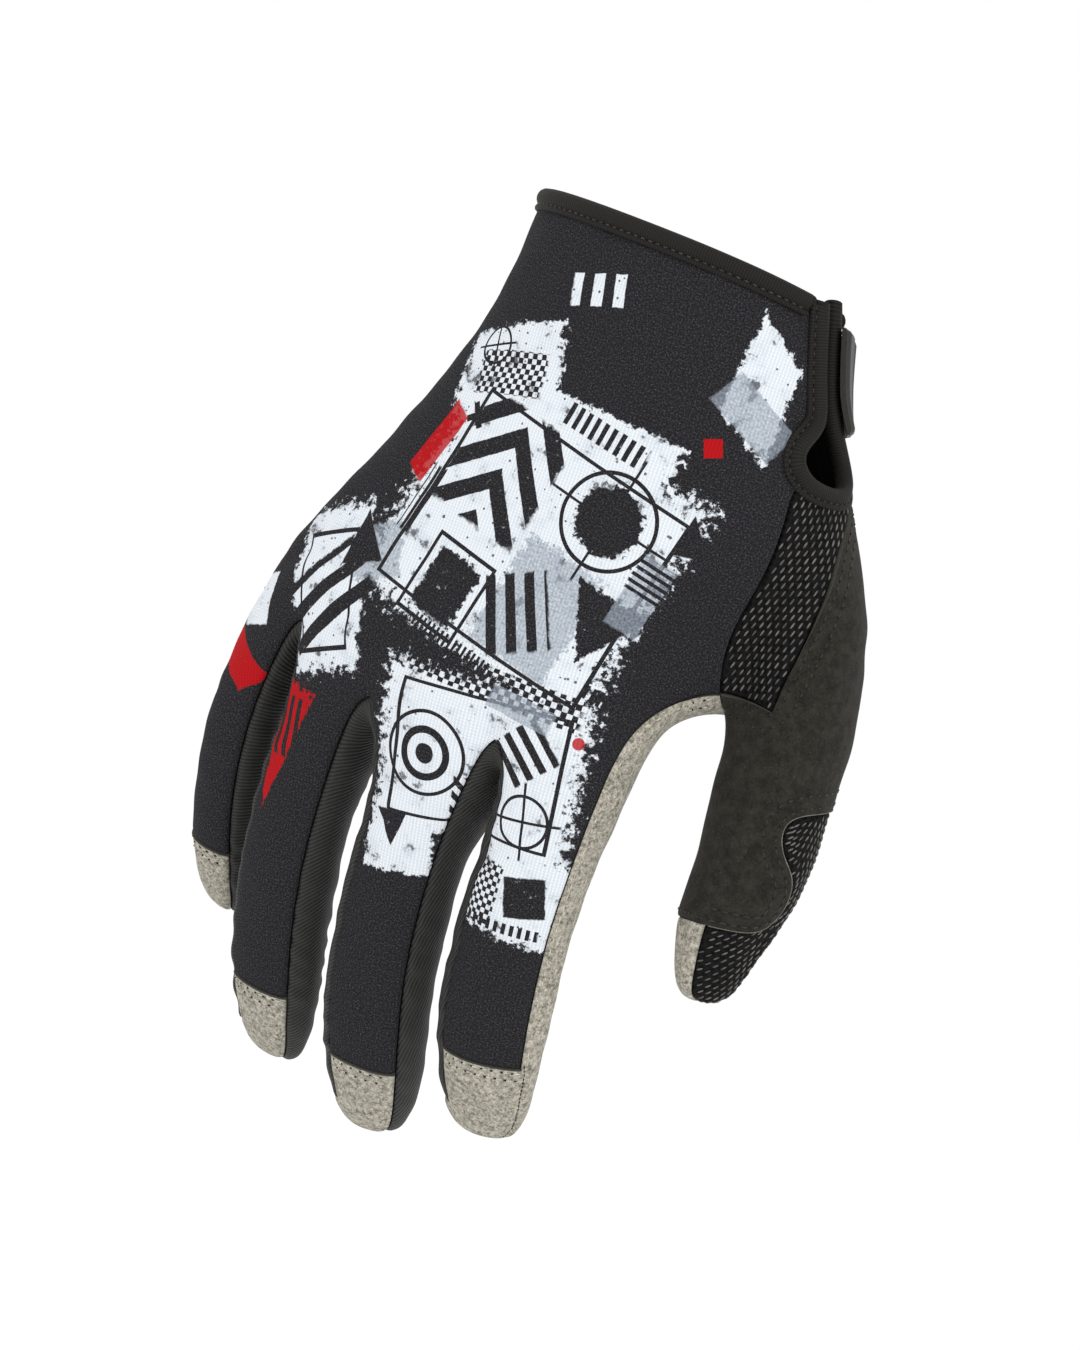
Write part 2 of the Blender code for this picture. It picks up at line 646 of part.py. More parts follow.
def sweep_binding(name, surface, tree, path, ways, ends, bends):
    """The binding's profile along a path of the surface's edge, its legs laid on the cloth."""
    points, normals, faces, panels = surface
    places = np.array([points[v] for v in path])
    inward = []
    for k, v in enumerate(path):
        if k in (0, len(path) - 1):
            near = path[1] if k == 0 else path[-2]
            along = points[near] - points[v]
            way = np.cross(normals[v], along) * (1 if k == 0 else -1)
            way *= 1 if way.dot(ways[near]) > 0 else -1
            inward.append(way / np.linalg.norm(way))
        else:
            inward.append(ways[v])
    lengths = np.concatenate([[0], np.cumsum(np.linalg.norm(np.diff(places, axis=0), axis=1))])
    start = ends[0]
    stop = lengths[-1] - ends[1]
    between = [l for l in lengths[1:-1] if start + BINDING_STEP < l < stop - BINDING_STEP]
    stops = [start] + between + [stop]
    centres = trimmed(places, lengths, stops)
    outs = trimmed([normals[v] for v in path], lengths, stops)
    inwards = trimmed(inward, lengths, stops)
    profile = binding_profile(BINDING_LEG, bends)
    corners = []
    for centre, out, way in zip(centres, outs, inwards):
        feet = {}
        for v in {v for _, v in profile if v > 0}:
            foot, foot_out, _, _ = tree.find_nearest(Vector((centre + way * v) * MM))
            feet[v] = (np.array(foot) / MM, np.array(foot_out))
        for u, v in profile:
            foot, foot_out = feet.get(v, (centre + way * v, out))
            corners.append(foot + foot_out * u)
    size = len(profile)
    faces = []
    for base in range(0, (len(stops) - 1) * size, size):
        for j in range(size):
            after = (j + 1) % size
            faces.append([base + j, base + after, base + size + after, base + size + j])
    inner = size - 1 - bends
    for base in (0, (len(stops) - 1) * size):
        for k in range(bends):
            leg = (k, k + 1, size - 2 - k, size - 1 - k)
            faces.append([base + j for j in leg])
            leg = (bends + 3 + k, bends + 4 + k, inner - 2 - k, inner - 1 - k)
            faces.append([base + j for j in leg])
        fold = (*range(bends, bends + 4), inner - 1, inner)
        faces.append([base + j for j in fold])
    return solid_object(name, corners, faces, *BINDING_LOOK)


def slit_edge_angle(cage, level):
    """Where the palm's side of the slit lies round the wrist at a height, in degrees."""
    rows = [cage.at((row, "r1")) for row in range(SLIT_SECTIONS)]
    angles = [math.degrees(math.atan2(p[0], -p[1])) for p in rows]
    return float(np.interp(-level, [-p[2] for p in rows], angles))


def on_wrist(tree, angle, level):
    """The point and normal on the wrist's outside at an angle and a height."""
    way = Vector((math.sin(math.radians(angle)), -math.cos(math.radians(angle)), 0))
    place, normal, _, _ = tree.ray_cast(Vector((0, 0, level * MM)), way)
    return np.array(place) / MM, np.array(normal)


def slab(name, columns, under, over, colour, roughness):
    """A closed slab over a grid of surface points, from its underside to its top height."""
    wide = len(columns)
    tall = len(columns[0])
    low = [place + normal * under(k) for k, column in enumerate(columns) for place, normal in column]
    high = [place + normal * over(k) for k, column in enumerate(columns) for place, normal in column]
    count = wide * tall
    faces = []
    for k in range(wide - 1):
        for j in range(tall - 1):
            quad = [k * tall + j, (k + 1) * tall + j, (k + 1) * tall + j + 1, k * tall + j + 1]
            faces.append([v + count for v in quad])
            faces.append(quad[::-1])
    rim = [k * tall for k in range(wide)] + [(wide - 1) * tall + j for j in range(1, tall)]
    rim += [k * tall + tall - 1 for k in range(wide - 2, -1, -1)] + [j for j in range(tall - 2, 0, -1)]
    for a, b in zip(rim, rim[1:] + rim[:1]):
        faces.append([a, b, b + count, a + count])
    return solid_object(name, low + high, faces, colour, roughness)


def build_strap(tree, cage):
    """The moulded wrist strap, round from the slit to the palm, and the patch below its end."""
    turn = math.degrees(STRAP_LENGTH / ((CUFF_WIDTH + CUFF_DEPTH) / 4))
    top = -STRAP_TOP
    start = slit_edge_angle(cage, top) + EDGE_CLEAR
    end = start + turn
    pitch = RIBS_SPAN / RIB_COUNT
    ribs = [RIBS_START + (rib + step) * pitch for rib in range(RIB_COUNT) for step in RIB_STEPS]
    shares = [0.0] + ribs + list(END_STEPS)
    middle = top - STRAP_WIDTH / 2
    columns = []
    for share in shares:
        past = max(0.0, share - ROUND_FROM) / (1.3 - 1.3 * ROUND_FROM)
        narrow = math.sqrt(1 - past**2)
        heights = [middle + STRAP_WIDTH / 2 * narrow * side for side in (1, 0.9, 0, -0.9, -1)]
        fade = max(0.0, 1 - share / SKEW_SHARE)
        column = []
        for level in heights:
            skew = (slit_edge_angle(cage, level) - slit_edge_angle(cage, top)) * fade
            column.append(on_wrist(tree, start + turn * share + skew, level))
        columns.append(column)
    first = []
    for (near, normal), (far, _) in zip(columns[0], columns[1]):
        back = (near - far) / np.linalg.norm(near - far)
        first.append((near + back * SLIT_REACH, normal))
    columns = [first] + columns

    def under(k):
        share = shares[max(0, k - 1)]
        start_height = SEAM_GAP + BINDING_CLEAR + BINDING_CLOTH
        return mix(start_height, 2 * SEAM_GAP + PATCH_THICKNESS, min(1.0, share / 0.5))

    def over(k):
        raised = 0 < k - 1 < 1 + 4 * RIB_COUNT and (k - 2) % 4 in (1, 2)
        return under(k) + STRAP_THICKNESS + (RIB_HEIGHT if raised else 0.0)

    slab("closure_strap", columns, under, over, *STRAP_LOOK)
    tall = STRAP_WIDTH - 2 * PATCH_MARGIN
    heights = [middle + tall / 2 * side for side in (1, 0.33, -0.33, -1)]
    span = turn * PATCH_LENGTH / STRAP_LENGTH
    angles = np.linspace(end - span, end, PATCH_STEPS) - turn * PATCH_MARGIN / STRAP_LENGTH
    pad = [[on_wrist(tree, angle, level) for level in heights] for angle in angles]
    slab("closure_patch", pad, lambda k: SEAM_GAP, lambda k: SEAM_GAP + PATCH_THICKNESS, *PATCH_LOOK)


def main():
    for thing in list(bpy.data.objects):
        bpy.data.objects.remove(thing, do_unlink=True)
    cage = build_cage()
    mesh = smooth_surface(cage, 1)
    surface = read_surface(mesh)
    for name in PANELS:
        colour, roughness = CLOTH_LOOKS[name]
        build_panel(name, surface, colour, roughness)
    slit, cuff, ways = wrist_edges(surface, cage)
    corner = BINDING_LEG + 2 * SEAM_GAP
    lip = BINDING_CLEAR + BINDING_CLOTH
    mesh.calc_loop_triangles()
    tree = BVHTree.FromPolygons([v.co for v in mesh.vertices], [t.vertices for t in mesh.loop_triangles])
    sweep_binding("slit_binding", surface, tree, slit, ways, (-lip, -lip), 2)
    sweep_binding("cuff_binding", surface, tree, cuff, ways, (corner, corner), 1)
    build_strap(tree, cage)
    bpy.data.meshes.remove(mesh)


main()
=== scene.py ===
# A right-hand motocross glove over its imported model: cloth, print, stitches, bindings and light.
import math

import bmesh
import bpy
import numpy as np
from mathutils import Matrix, Vector
from mathutils.bvhtree import BVHTree
from mathutils.geometry import barycentric_transform
from mathutils.kdtree import KDTree


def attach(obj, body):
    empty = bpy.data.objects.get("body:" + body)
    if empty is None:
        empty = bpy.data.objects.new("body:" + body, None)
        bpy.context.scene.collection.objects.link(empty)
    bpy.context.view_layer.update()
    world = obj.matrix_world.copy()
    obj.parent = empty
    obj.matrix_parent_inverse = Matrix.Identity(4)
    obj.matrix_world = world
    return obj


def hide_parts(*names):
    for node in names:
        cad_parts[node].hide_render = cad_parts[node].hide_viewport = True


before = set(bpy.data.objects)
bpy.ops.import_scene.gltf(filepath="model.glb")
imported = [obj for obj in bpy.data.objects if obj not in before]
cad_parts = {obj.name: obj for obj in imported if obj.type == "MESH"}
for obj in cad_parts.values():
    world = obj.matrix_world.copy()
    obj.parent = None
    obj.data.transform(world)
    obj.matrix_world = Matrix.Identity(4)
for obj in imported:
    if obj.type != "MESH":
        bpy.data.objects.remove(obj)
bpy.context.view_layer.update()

mm = 0.001
print("frame loaded:", len(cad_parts), "nodes")


def placed(name, data):
    # a new object at the origin, in the scene
    made = bpy.data.objects.new(name, data)
    bpy.context.scene.collection.objects.link(made)
    return made


# Camera, at the photograph's angle

cameraSizes = {
    "azimuth": 30.0,  # degrees round the glove, from the back of the hand to the thumb's side
    "distance": 780.0,  # mm
    "target": (0.0, 0.0, -100.0),
    "roll": 20.0,  # the wrist leans to the right in the picture
    "lens": 96.7,
    "shift": (0.0074, 0.0141),
}


def makeCamera(sizes):
    turn = math.radians(sizes["azimuth"])
    roll = math.radians(sizes["roll"])
    towards = Vector((math.sin(turn), -math.cos(turn), 0))
    right = Vector((math.cos(turn), math.sin(turn), 0))
    up = Vector((0, 0, 1))
    across = right * math.cos(roll) + up * math.sin(roll)
    above = up * math.cos(roll) - right * math.sin(roll)
    data = bpy.data.cameras.new("photoCamera")
    data.sensor_fit = "VERTICAL"
    data.sensor_height = 36
    data.lens = sizes["lens"]
    data.shift_x, data.shift_y = sizes["shift"]
    camera = placed("photoCamera", data)
    matrix = Matrix((across, above, towards)).transposed().to_4x4()
    matrix.translation = (Vector(sizes["target"]) + towards * sizes["distance"]) * mm
    camera.matrix_world = matrix
    bpy.context.scene.camera = camera


makeCamera(cameraSizes)
print("camera placed")


# The glove's surface: a coarse cage of quads, in mm, smoothed by subdivision

handSizes = {
    "cuffWidth": 73.0,
    "cuffDepth": 47.0,
    "knuckleWidth": 102.0,
    "knuckleDepth": 37.0,
    "palmLength": 114.0,  # cuff edge to the web beside the middle finger
    "cuffTilt": 6.0,
    "ulnarShift": 22.0,
    "thumbOut": 49.0,
    "thumbForward": 25.0,
    "thumbWidth": 28.0,
    "thumbLength": 65.0,
    "thumbLean": (0.0, 6.0),
    "thumbRoll": 62.0,
    "knuckleTwist": 70.0,
    "tiltEnds": 0.37,  # share of the palm's length
    "squareness": 0.86,
    "webDip": 2.0,
    "crotchTuck": 1.0,
    "edgeDrop": 0.045,
    "curlBend": 1.8,
    "curlShortens": 0.9,
    "underSeam": 136.0,
    "cornerFill": 1.05,
    "tipBulge": 0.6,
}

# name, angle at the cuff, angle at the knuckles, how far short the web lies
dorsal = [
    ("d0", -76, -80, 0.130), ("pinkyTop", -58, -56, 0.125), ("d1", -40, -34, 0.115),
    ("ringTop", -23, -20, 0.055), ("d2", -6, -6, 0.010), ("middleTop", 12, 10, -0.010),
    ("d3", 30, 27, 0.025), ("indexTop", 54, 50, 0.015),
]
palmar = [
    ("indexUnder", 160, 128, -0.020), ("p3", 170, 150, -0.060), ("middleUnder", 185, 170, -0.070),
    ("p2", 200, 189, -0.060), ("ringUnder", 213, 205, -0.030), ("p1", 227, 216, 0.040),
    ("pinkyUnder", 241, 240, 0.060), ("p0", 256, 259, 0.090), ("ulnar", 270, 270, 0.110),
]
radial = ["r1", "r2", "r3", "r4", "r5", "r6", "r7"]
dorsalNames = [row[0] for row in dorsal]
palmarNames = [row[0] for row in palmar]

sectionColumns = ("down", "widen", "thin", "shift", "lobe", "d4", "r1", "r2", "p4", "slant")
sectionRows = [
    (0.000, 0.00, 0.00, 0.00, 0.00, 85, 96, 104, 150, 0.0),
    (0.165, 0.04, 0.22, 0.05, 0.13, 87, 98, 107, 153, 0.0),
    (0.240, 0.10, 0.35, 0.10, 0.25, 84, 102, 112, 156, 0.0),
    (0.300, 0.17, 0.45, 0.16, 0.36, 56, 113, 121, 160, 0.05),
    (0.372, 0.25, 0.52, 0.24, 0.48, 50, 94, 105, 163, 0.1),
    (0.450, 0.36, 0.64, 0.35, 0.62, 43, 62, 80, 171, 0.2),
    (0.560, 0.50, 0.76, 0.50, 0.79, 18, 36, 54, 185, 0.35),
    (0.680, 0.66, 0.88, 0.69, 0.92, -18, 4, 25, 203, 0.5),
    (0.790, 0.80, 0.96, 0.86, 1.00, -38, -18, 0, 222, 0.6),
]
belowColumns = ("down", "widen", "thin", "shift", "slant", "d4", "side", "p4")
belowRows = [
    (0.885, 0.92, 0.98, 0.95, 0.8, (1.10, -0.22), (1.05, 0.28), (0.92, 0.80)),
    (1.000, 1.00, 1.00, 1.00, 1.0, (1.02, -0.40), (1.04, 0.08), (0.94, 0.62)),
]
fingerColumns = ("name", "length", "across", "curl", "width", "depth", "roll", "seam", "cap")
fingerRows = [
    ("pinky", 75, -10.8, 31, 18.0, 17.0, -8, 44, 0.78),
    ("ring", 95, -9.6, 37, 24.4, 19.0, -4, 44, 0.81),
    ("middle", 97, -10.3, 40, 25.0, 20.5, 10, 44, 0.82),
    ("index", 90, -9.8, 33, 25.0, 20.0, 8, 64, 0.77),
]
# share of the finger's length, or None where its cap starts, and shares of its width and depth
fingerStations = [
    (0.20, 1.02, 1.00), (0.42, 1.05, 0.97), (0.62, 1.06, 0.92),
    (None, 1.04, 0.82), (0.94, 0.85, 0.60), (1.00, 0.50, 0.28),
]
# share of the thumb's length, mm outwards, shares of its width and depth
thumbStations = [
    (0.26, 1.2, 0.94, 0.97), (0.44, 2.5, 0.97, 0.94), (0.61, 1.4, 0.87, 0.86), (0.78, -0.6, 0.77, 0.74),
    (0.93, -1.2, 0.59, 0.50), (1.00, -1.0, 0.37, 0.22),
]
thumbAngles = dict(side=-92, d4=-56, r1=-24, r2=4, r3=32, r4=70, r5=108, r6=145, r7=184, p4=226)
meshWindow = [(), ("r3", "r4", "r5"), ("r4", "r5"), ("r4", "r5")]
# where the window's edge leaves the grid: how far towards the tip in mm, and round the thumb in degrees
thumbShifts = {
    (0, "r2"): (3.5, 0), (0, "r3"): (7.0, -3), (0, "r4"): (3.5, 0), (0, "r5"): (1.5, 0),
    (1, "r3"): (-1.0, 15), (1, "r4"): (4.5, -15), (2, "r4"): (-1.0, -4),
    (3, "side"): (-2.5, 0), (3, "d4"): (-2.5, 0), (3, "r1"): (-4.0, 0), (3, "r2"): (-4.0, -10),
    (3, "r3"): (-5.0, 0), (3, "r4"): (-8.0, -6),
}
slitSections = 4
capStation = 4
fingerCorners = ["leftTop", "top", "rightTop", "right", "rightUnder", "under", "leftUnder", "left"]

back, palm, pinkyRing, ringMiddle, middleIndex, gusset, thumbSuede, thumbMesh = range(8)
panelNames = [
    "back_panel", "palm_panel", "fourchette_pinky_ring", "fourchette_ring_middle",
    "fourchette_middle_index", "wrist_mesh_gusset", "thumb_suede", "thumb_mesh",
]

size = handSizes
sections = [dict(zip(sectionColumns, row)) for row in sectionRows]
below = [dict(zip(belowColumns, row)) for row in belowRows]
fingers = [dict(zip(fingerColumns, row)) for row in fingerRows]


def mix(a, b, t):
    return a + (b - a) * t


def onOval(angle, halfWidth, halfDepth):
    s = math.sin(math.radians(angle))
    c = math.cos(math.radians(angle))
    x = math.copysign(abs(s) ** size["squareness"], s) * halfWidth
    return np.array([x, -math.copysign(abs(c) ** size["squareness"], c) * halfDepth])


def handOval(section):
    halfWidth = mix(size["cuffWidth"], size["knuckleWidth"], section["widen"]) / 2
    halfDepth = mix(size["cuffDepth"], size["knuckleDepth"], section["thin"]) / 2
    return halfWidth, halfDepth, -size["ulnarShift"] * section["shift"]


def heightOf(section, drop):
    level = min(1.0, section["down"] / size["tiltEnds"]) * size["cuffTilt"] / 2
    return level - size["palmLength"] * section["down"] * (1 - section["slant"] * drop)


def cuffSlope(section, x):
    return -size["cuffTilt"] * x / size["cuffWidth"] * max(0.0, 1 - section["down"] / size["tiltEnds"])


def handPoints(section):
    halfWidth, halfDepth, middle = handOval(section)
    t = min(1.0, section["down"])
    points = {}
    for name, cuffAngle, webAngle, drop in dorsal + palmar:
        x, y = onOval(mix(cuffAngle, webAngle, t), halfWidth, halfDepth)
        points[name] = np.array([middle + x, y, heightOf(section, drop)])
    return points


def lobePoints(section):
    t = section["lobe"]
    width = mix(size["cuffWidth"] / 2, size["thumbWidth"] / 2, t)
    depth = mix(size["cuffDepth"] / 2, size["thumbWidth"] / 2, t)
    rest = np.linspace(section["r2"], section["p4"], len(radial))[1:]
    angles = [section["d4"], section["r1"], section["r2"]] + list(rest)
    points = {}
    level = heightOf(section, size["edgeDrop"])
    for name, angle in zip(["d4"] + radial + ["p4"], angles):
        x, y = onOval(angle, width, depth)
        points[name] = np.array([x + size["thumbOut"] * t, y + size["thumbForward"] * t, level])
    return points


class Cage:
    def __init__(self):
        self.points = []
        self.index = {}
        self.faces = []
        self.panels = []

    def add(self, key, point):
        self.index[key] = len(self.points)
        self.points.append(np.asarray(point, float))

    def quad(self, keys, panel):
        self.faces.append([self.index[key] for key in keys])
        self.panels.append(panel)

    def at(self, key):
        return self.points[self.index[key]]


def handPanel(column, row):
    if column in dorsalNames:
        return back
    if column in ("d4", "r1") and row >= slitSections:
        return gusset
    if column == "d4":
        return None
    return thumbSuede if column in ("r1", "r2", "r3", "r4", "r5") else palm


def buildHand(cage):
    columns = dorsalNames + ["d4"] + radial + ["p4"] + palmarNames
    for row, section in enumerate(sections):
        points = handPoints(section) | lobePoints(section)
        for name in columns:
            cage.add((row, name), points[name] + np.array([0, 0, cuffSlope(section, points[name][0])]))
    for row in range(len(sections) - 1):
        for a, b in zip(columns, columns[1:] + columns[:1]):
            panel = handPanel(a, row)
            if panel is not None:
                cage.quad([(row, a), (row + 1, a), (row + 1, b), (row, b)], panel)


def buildBelowCrotch(cage):
    crotch = len(sections) - 1
    middle = cage.at((crotch, "d4")) * 0.5 + cage.at((crotch, "p4")) * 0.5
    tuck = np.array([size["crotchTuck"], size["crotchTuck"], size["webDip"]])
    cage.add((crotch, "side"), middle - tuck)
    columns = dorsalNames + ["d4", "side", "p4"] + palmarNames
    for row, section in enumerate(below, crotch + 1):
        halfWidth, halfDepth, shift = handOval(section)
        points = handPoints(section)
        for name in ("d4", "side", "p4"):
            x, y = section[name]
            level = heightOf(section, size["edgeDrop"])
            points[name] = np.array([shift + x * halfWidth, y * halfDepth, level])
        for name in columns:
            cage.add((row, name), points[name])
        for a, b in zip(columns, columns[1:] + columns[:1]):
            panel = back if a in dorsalNames else palm
            cage.quad([(row - 1, a), (row, a), (row, b), (row - 1, b)], panel)


def frameAt(tangent, roll):
    up = np.array([0.0, -1.0, 0.0])
    up = up - tangent * up.dot(tangent)
    up /= np.linalg.norm(up)
    side = np.cross(up, tangent)
    side = -side if side[0] < 0 else side
    turn = math.radians(roll)
    return side * math.cos(turn) - up * math.sin(turn), up * math.cos(turn) + side * math.sin(turn)


def curvedAxis(root, lean, length, curl, along):
    bend = size["curlBend"]
    reach = math.sqrt(length**2 - (curl * size["curlShortens"]) ** 2)
    point = root + np.array([lean * along * (2 - along), curl * along**bend, -reach * along])
    tangent = np.array([lean * (2 - 2 * along), curl * bend * along ** (bend - 1), -reach])
    return point, tangent / np.linalg.norm(tangent)


def fingerPanel(number, corner, station):
    # a fourchette reaches the tip on its first finger, and the cap's middle on its second
    if corner in ("rightTop", "right") and number < 3:
        return pinkyRing + number
    if corner in ("leftUnder", "left") and number > 0 and station <= capStation:
        return pinkyRing + number - 1
    if station >= capStation:
        return palm
    return back if corner in ("leftTop", "top", "left") else palm


def buildFinger(cage, number, finger, web):
    name = finger["name"]
    loop = [
        (web, f"d{number}"), (web, f"{name}Top"), (web, f"d{number + 1}"), (web, f"w{number + 1}"),
        (web, f"p{number + 1}"), (web, f"{name}Under"), (web, f"p{number}"), (web, f"w{number}"),
    ]
    root = sum(cage.at(key) for key in loop) / len(loop)
    under = size["underSeam"]
    seam = finger["seam"]
    angles = [-44, 0, seam, (seam + under) / 2, under, 180, 360 - under, 270]
    corners = [onOval(angle, size["cornerFill"], -size["cornerFill"]) for angle in angles]
    for station, (along, wide, deep) in enumerate(fingerStations):
        along = along or finger["cap"]
        centre, tangent = curvedAxis(root, finger["across"], finger["length"], finger["curl"], along)
        side, up = frameAt(tangent, finger["roll"])
        keys = []
        for corner, (across, high) in zip(fingerCorners, corners):
            place = centre + side * across * finger["width"] * wide / 2
            cage.add((name, station, corner), place + up * high * finger["depth"] * deep / 2)
            keys.append((name, station, corner))
        for k, corner in enumerate(fingerCorners):
            after = (k + 1) % 8
            panel = fingerPanel(number, corner, station)
            cage.quad([loop[k], keys[k], keys[after], loop[after]], panel)
        loop = keys
    end, tangent = curvedAxis(root, finger["across"], finger["length"], finger["curl"], 1.0)
    cage.add((name, "tip"), end + tangent * size["tipBulge"])
    for k in (1, 3, 5, 7):
        panel = fingerPanel(number, fingerCorners[k], capStation + 1)
        cage.quad([loop[(k + 1) % 8], loop[k], loop[k - 1], (name, "tip")], panel)


def thumbPanel(a, station):
    if a in ("r6", "r7", "p4"):
        return palm
    if station >= 4:
        return palm if a in ("side", "d4", "r1") else thumbMesh
    return thumbMesh if a in meshWindow[station] else thumbSuede


def buildThumb(cage):
    crotch = len(sections) - 1
    names = ["side", "d4"] + radial + ["p4"]
    loop = [(crotch, name) for name in names]
    root = np.array([size["thumbOut"], size["thumbForward"], heightOf(sections[-1], size["edgeDrop"])])
    lean, curl = size["thumbLean"]
    for station, (along, outwards, wide, deep) in enumerate(thumbStations):
        centre, tangent = curvedAxis(root, lean, size["thumbLength"], curl, along)
        centre = centre + np.array([outwards, 0, 0])
        side, up = frameAt(tangent, size["thumbRoll"])
        flat, tall = frameAt(tangent, 0)
        keys = []
        for name in names:
            shift, turn = thumbShifts.get((station, name), (0, 0))
            twist = size["knuckleTwist"] * (along - 0.3) if name in ("r3", "r4") else 0
            angle = math.radians(thumbAngles[name] + twist + turn)
            way = flat * math.sin(angle) + tall * math.cos(angle)
            place = centre + tangent * shift + side * way.dot(side) * size["thumbWidth"] / 2 * wide
            cage.add(("thumb", station, name), place + up * way.dot(up) * size["thumbWidth"] / 2 * deep)
            keys.append(("thumb", station, name))
        for k, name in enumerate(names):
            after = (k + 1) % len(names)
            cage.quad([loop[k], keys[k], keys[after], loop[after]], thumbPanel(name, station))
        loop = keys
    tangent = curvedAxis(root, lean, size["thumbLength"], curl, 1.0)[1]
    low = (cage.at(loop[1]) + cage.at(loop[8])) / 2
    high = (cage.at(loop[3]) + cage.at(loop[6])) / 2
    cage.add("tipA", mix(low, high, 0.33) + tangent * size["tipBulge"])
    cage.add("tipB", mix(low, high, 0.67) + tangent * size["tipBulge"])
    grid = [loop[1:5], [loop[0], "tipA", "tipB", loop[5]], [loop[9], loop[8], loop[7], loop[6]]]
    for line, following in zip(grid, grid[1:]):
        for k in range(3):
            panel = thumbMesh if line is grid[0] and k == 2 else palm
            cage.quad([line[k], following[k], following[k + 1], line[k + 1]], panel)


def buildCage():
    cage = Cage()
    buildHand(cage)
    buildBelowCrotch(cage)
    web = len(sections) - 1 + len(below)
    for number in (1, 2, 3):
        middle = cage.at((web, f"d{number}")) * 0.5 + cage.at((web, f"p{number}")) * 0.5
        cage.add((web, f"w{number}"), middle - np.array([0, 0, size["webDip"]]))
    cage.index[(web, "w0")] = cage.index[(web, "ulnar")]
    cage.index[(web, "w4")] = cage.index[(web, "side")]
    for number, finger in enumerate(fingers):
        buildFinger(cage, number, finger, web)
    buildThumb(cage)
    return cage


def unwrapPanels(helper):
    # lays each panel flat by itself, as its cloth was cut
    helper.data.uv_layers.new(name="cloth")
    bpy.context.view_layer.objects.active = helper
    helper.select_set(True)
    bpy.ops.object.mode_set(mode="EDIT")
    edit = bmesh.from_edit_mesh(helper.data)
    for number in range(len(panelNames)):
        for face in edit.faces:
            face.select_set(face.material_index == number)
        bmesh.update_edit_mesh(helper.data)
        bpy.ops.uv.unwrap(method="ANGLE_BASED", margin=0.0)
        if number in (palm, pinkyRing, ringMiddle, middleIndex, thumbMesh):
            bpy.ops.uv.unwrap(method="MINIMUM_STRETCH", iterations=5, no_flip=True, margin=0.0)
    bpy.ops.object.mode_set(mode="OBJECT")


def subdivided(helper, levels, onLimit):
    smooth = helper.modifiers.new("Smooth", "SUBSURF")
    smooth.boundary_smooth = "PRESERVE_CORNERS"
    smooth.use_limit_surface = onLimit
    smooth.levels = levels
    smooth.render_levels = levels
    graph = bpy.context.evaluated_depsgraph_get()
    mesh = bpy.data.meshes.new_from_object(helper.evaluated_get(graph))
    helper.modifiers.remove(smooth)
    return mesh


class Surface:
    # the smoothed cage as arrays: points and normals in mm, quads, panels, and cloth places

    def __init__(self, helper, levels):
        mesh = subdivided(helper, levels, True)
        count = len(mesh.vertices)
        self.points = np.empty(count * 3)
        self.normals = np.empty(count * 3)
        self.quads = np.empty(len(mesh.loops), int)
        self.panels = np.empty(len(mesh.polygons), int)
        loopPlaces = np.empty(len(mesh.loops) * 2)
        mesh.vertices.foreach_get("co", self.points)
        mesh.vertices.foreach_get("normal", self.normals)
        mesh.loops.foreach_get("vertex_index", self.quads)
        mesh.polygons.foreach_get("material_index", self.panels)
        mesh.uv_layers["cloth"].data.foreach_get("uv", loopPlaces)
        self.points = self.points.reshape(-1, 3) / mm
        self.normals = self.normals.reshape(-1, 3)
        self.quads = self.quads.reshape(-1, 4)
        self.loopPlaces = loopPlaces.reshape(-1, 4, 2)
        bpy.data.meshes.remove(mesh)

    def own(self, panel):
        return self.quads[self.panels == panel]

    def places(self, panel):
        # each vertex's place on this panel's flat cloth
        places = np.zeros((len(self.points), 2))
        places[self.own(panel)] = self.loopPlaces[self.panels == panel]
        return places


def faceTree(points, faces):
    return BVHTree.FromPolygons(points.tolist(), faces.tolist())


def pointTree(places):
    tree = KDTree(len(places))
    for k, place in enumerate(places):
        tree.insert(place, k)
    tree.balance()
    return tree


def runLengths(places):
    # how far along this line of points each of them lies
    return np.concatenate([[0], np.cumsum(np.linalg.norm(np.diff(places, axis=0), axis=1))])


def chain(follow, start):
    path = [start]
    while path[-1] in follow and follow[path[-1]] != start:
        path.append(follow[path[-1]])
    return path


def openEdges(quads):
    # the directed edges of these faces that no other of them shares
    starts = quads.reshape(-1)
    ends = np.roll(quads, -1, axis=1).reshape(-1)
    base = int(quads.max()) + 1
    codes = starts * base + ends
    alone = ~np.isin(codes, ends * base + starts)
    return list(zip(starts[alone].tolist(), ends[alone].tolist()))


def inwardWays(surface, border):
    ways = {}
    for a, b in border:
        along = surface.points[b] - surface.points[a]
        inward = np.cross(surface.normals[a] + surface.normals[b], along)
        inward /= np.linalg.norm(inward)
        for v in (a, b):
            ways.setdefault(v, []).append(inward)
    return {v: sum(found) / (1 + found[0].dot(found[-1])) for v, found in ways.items()}


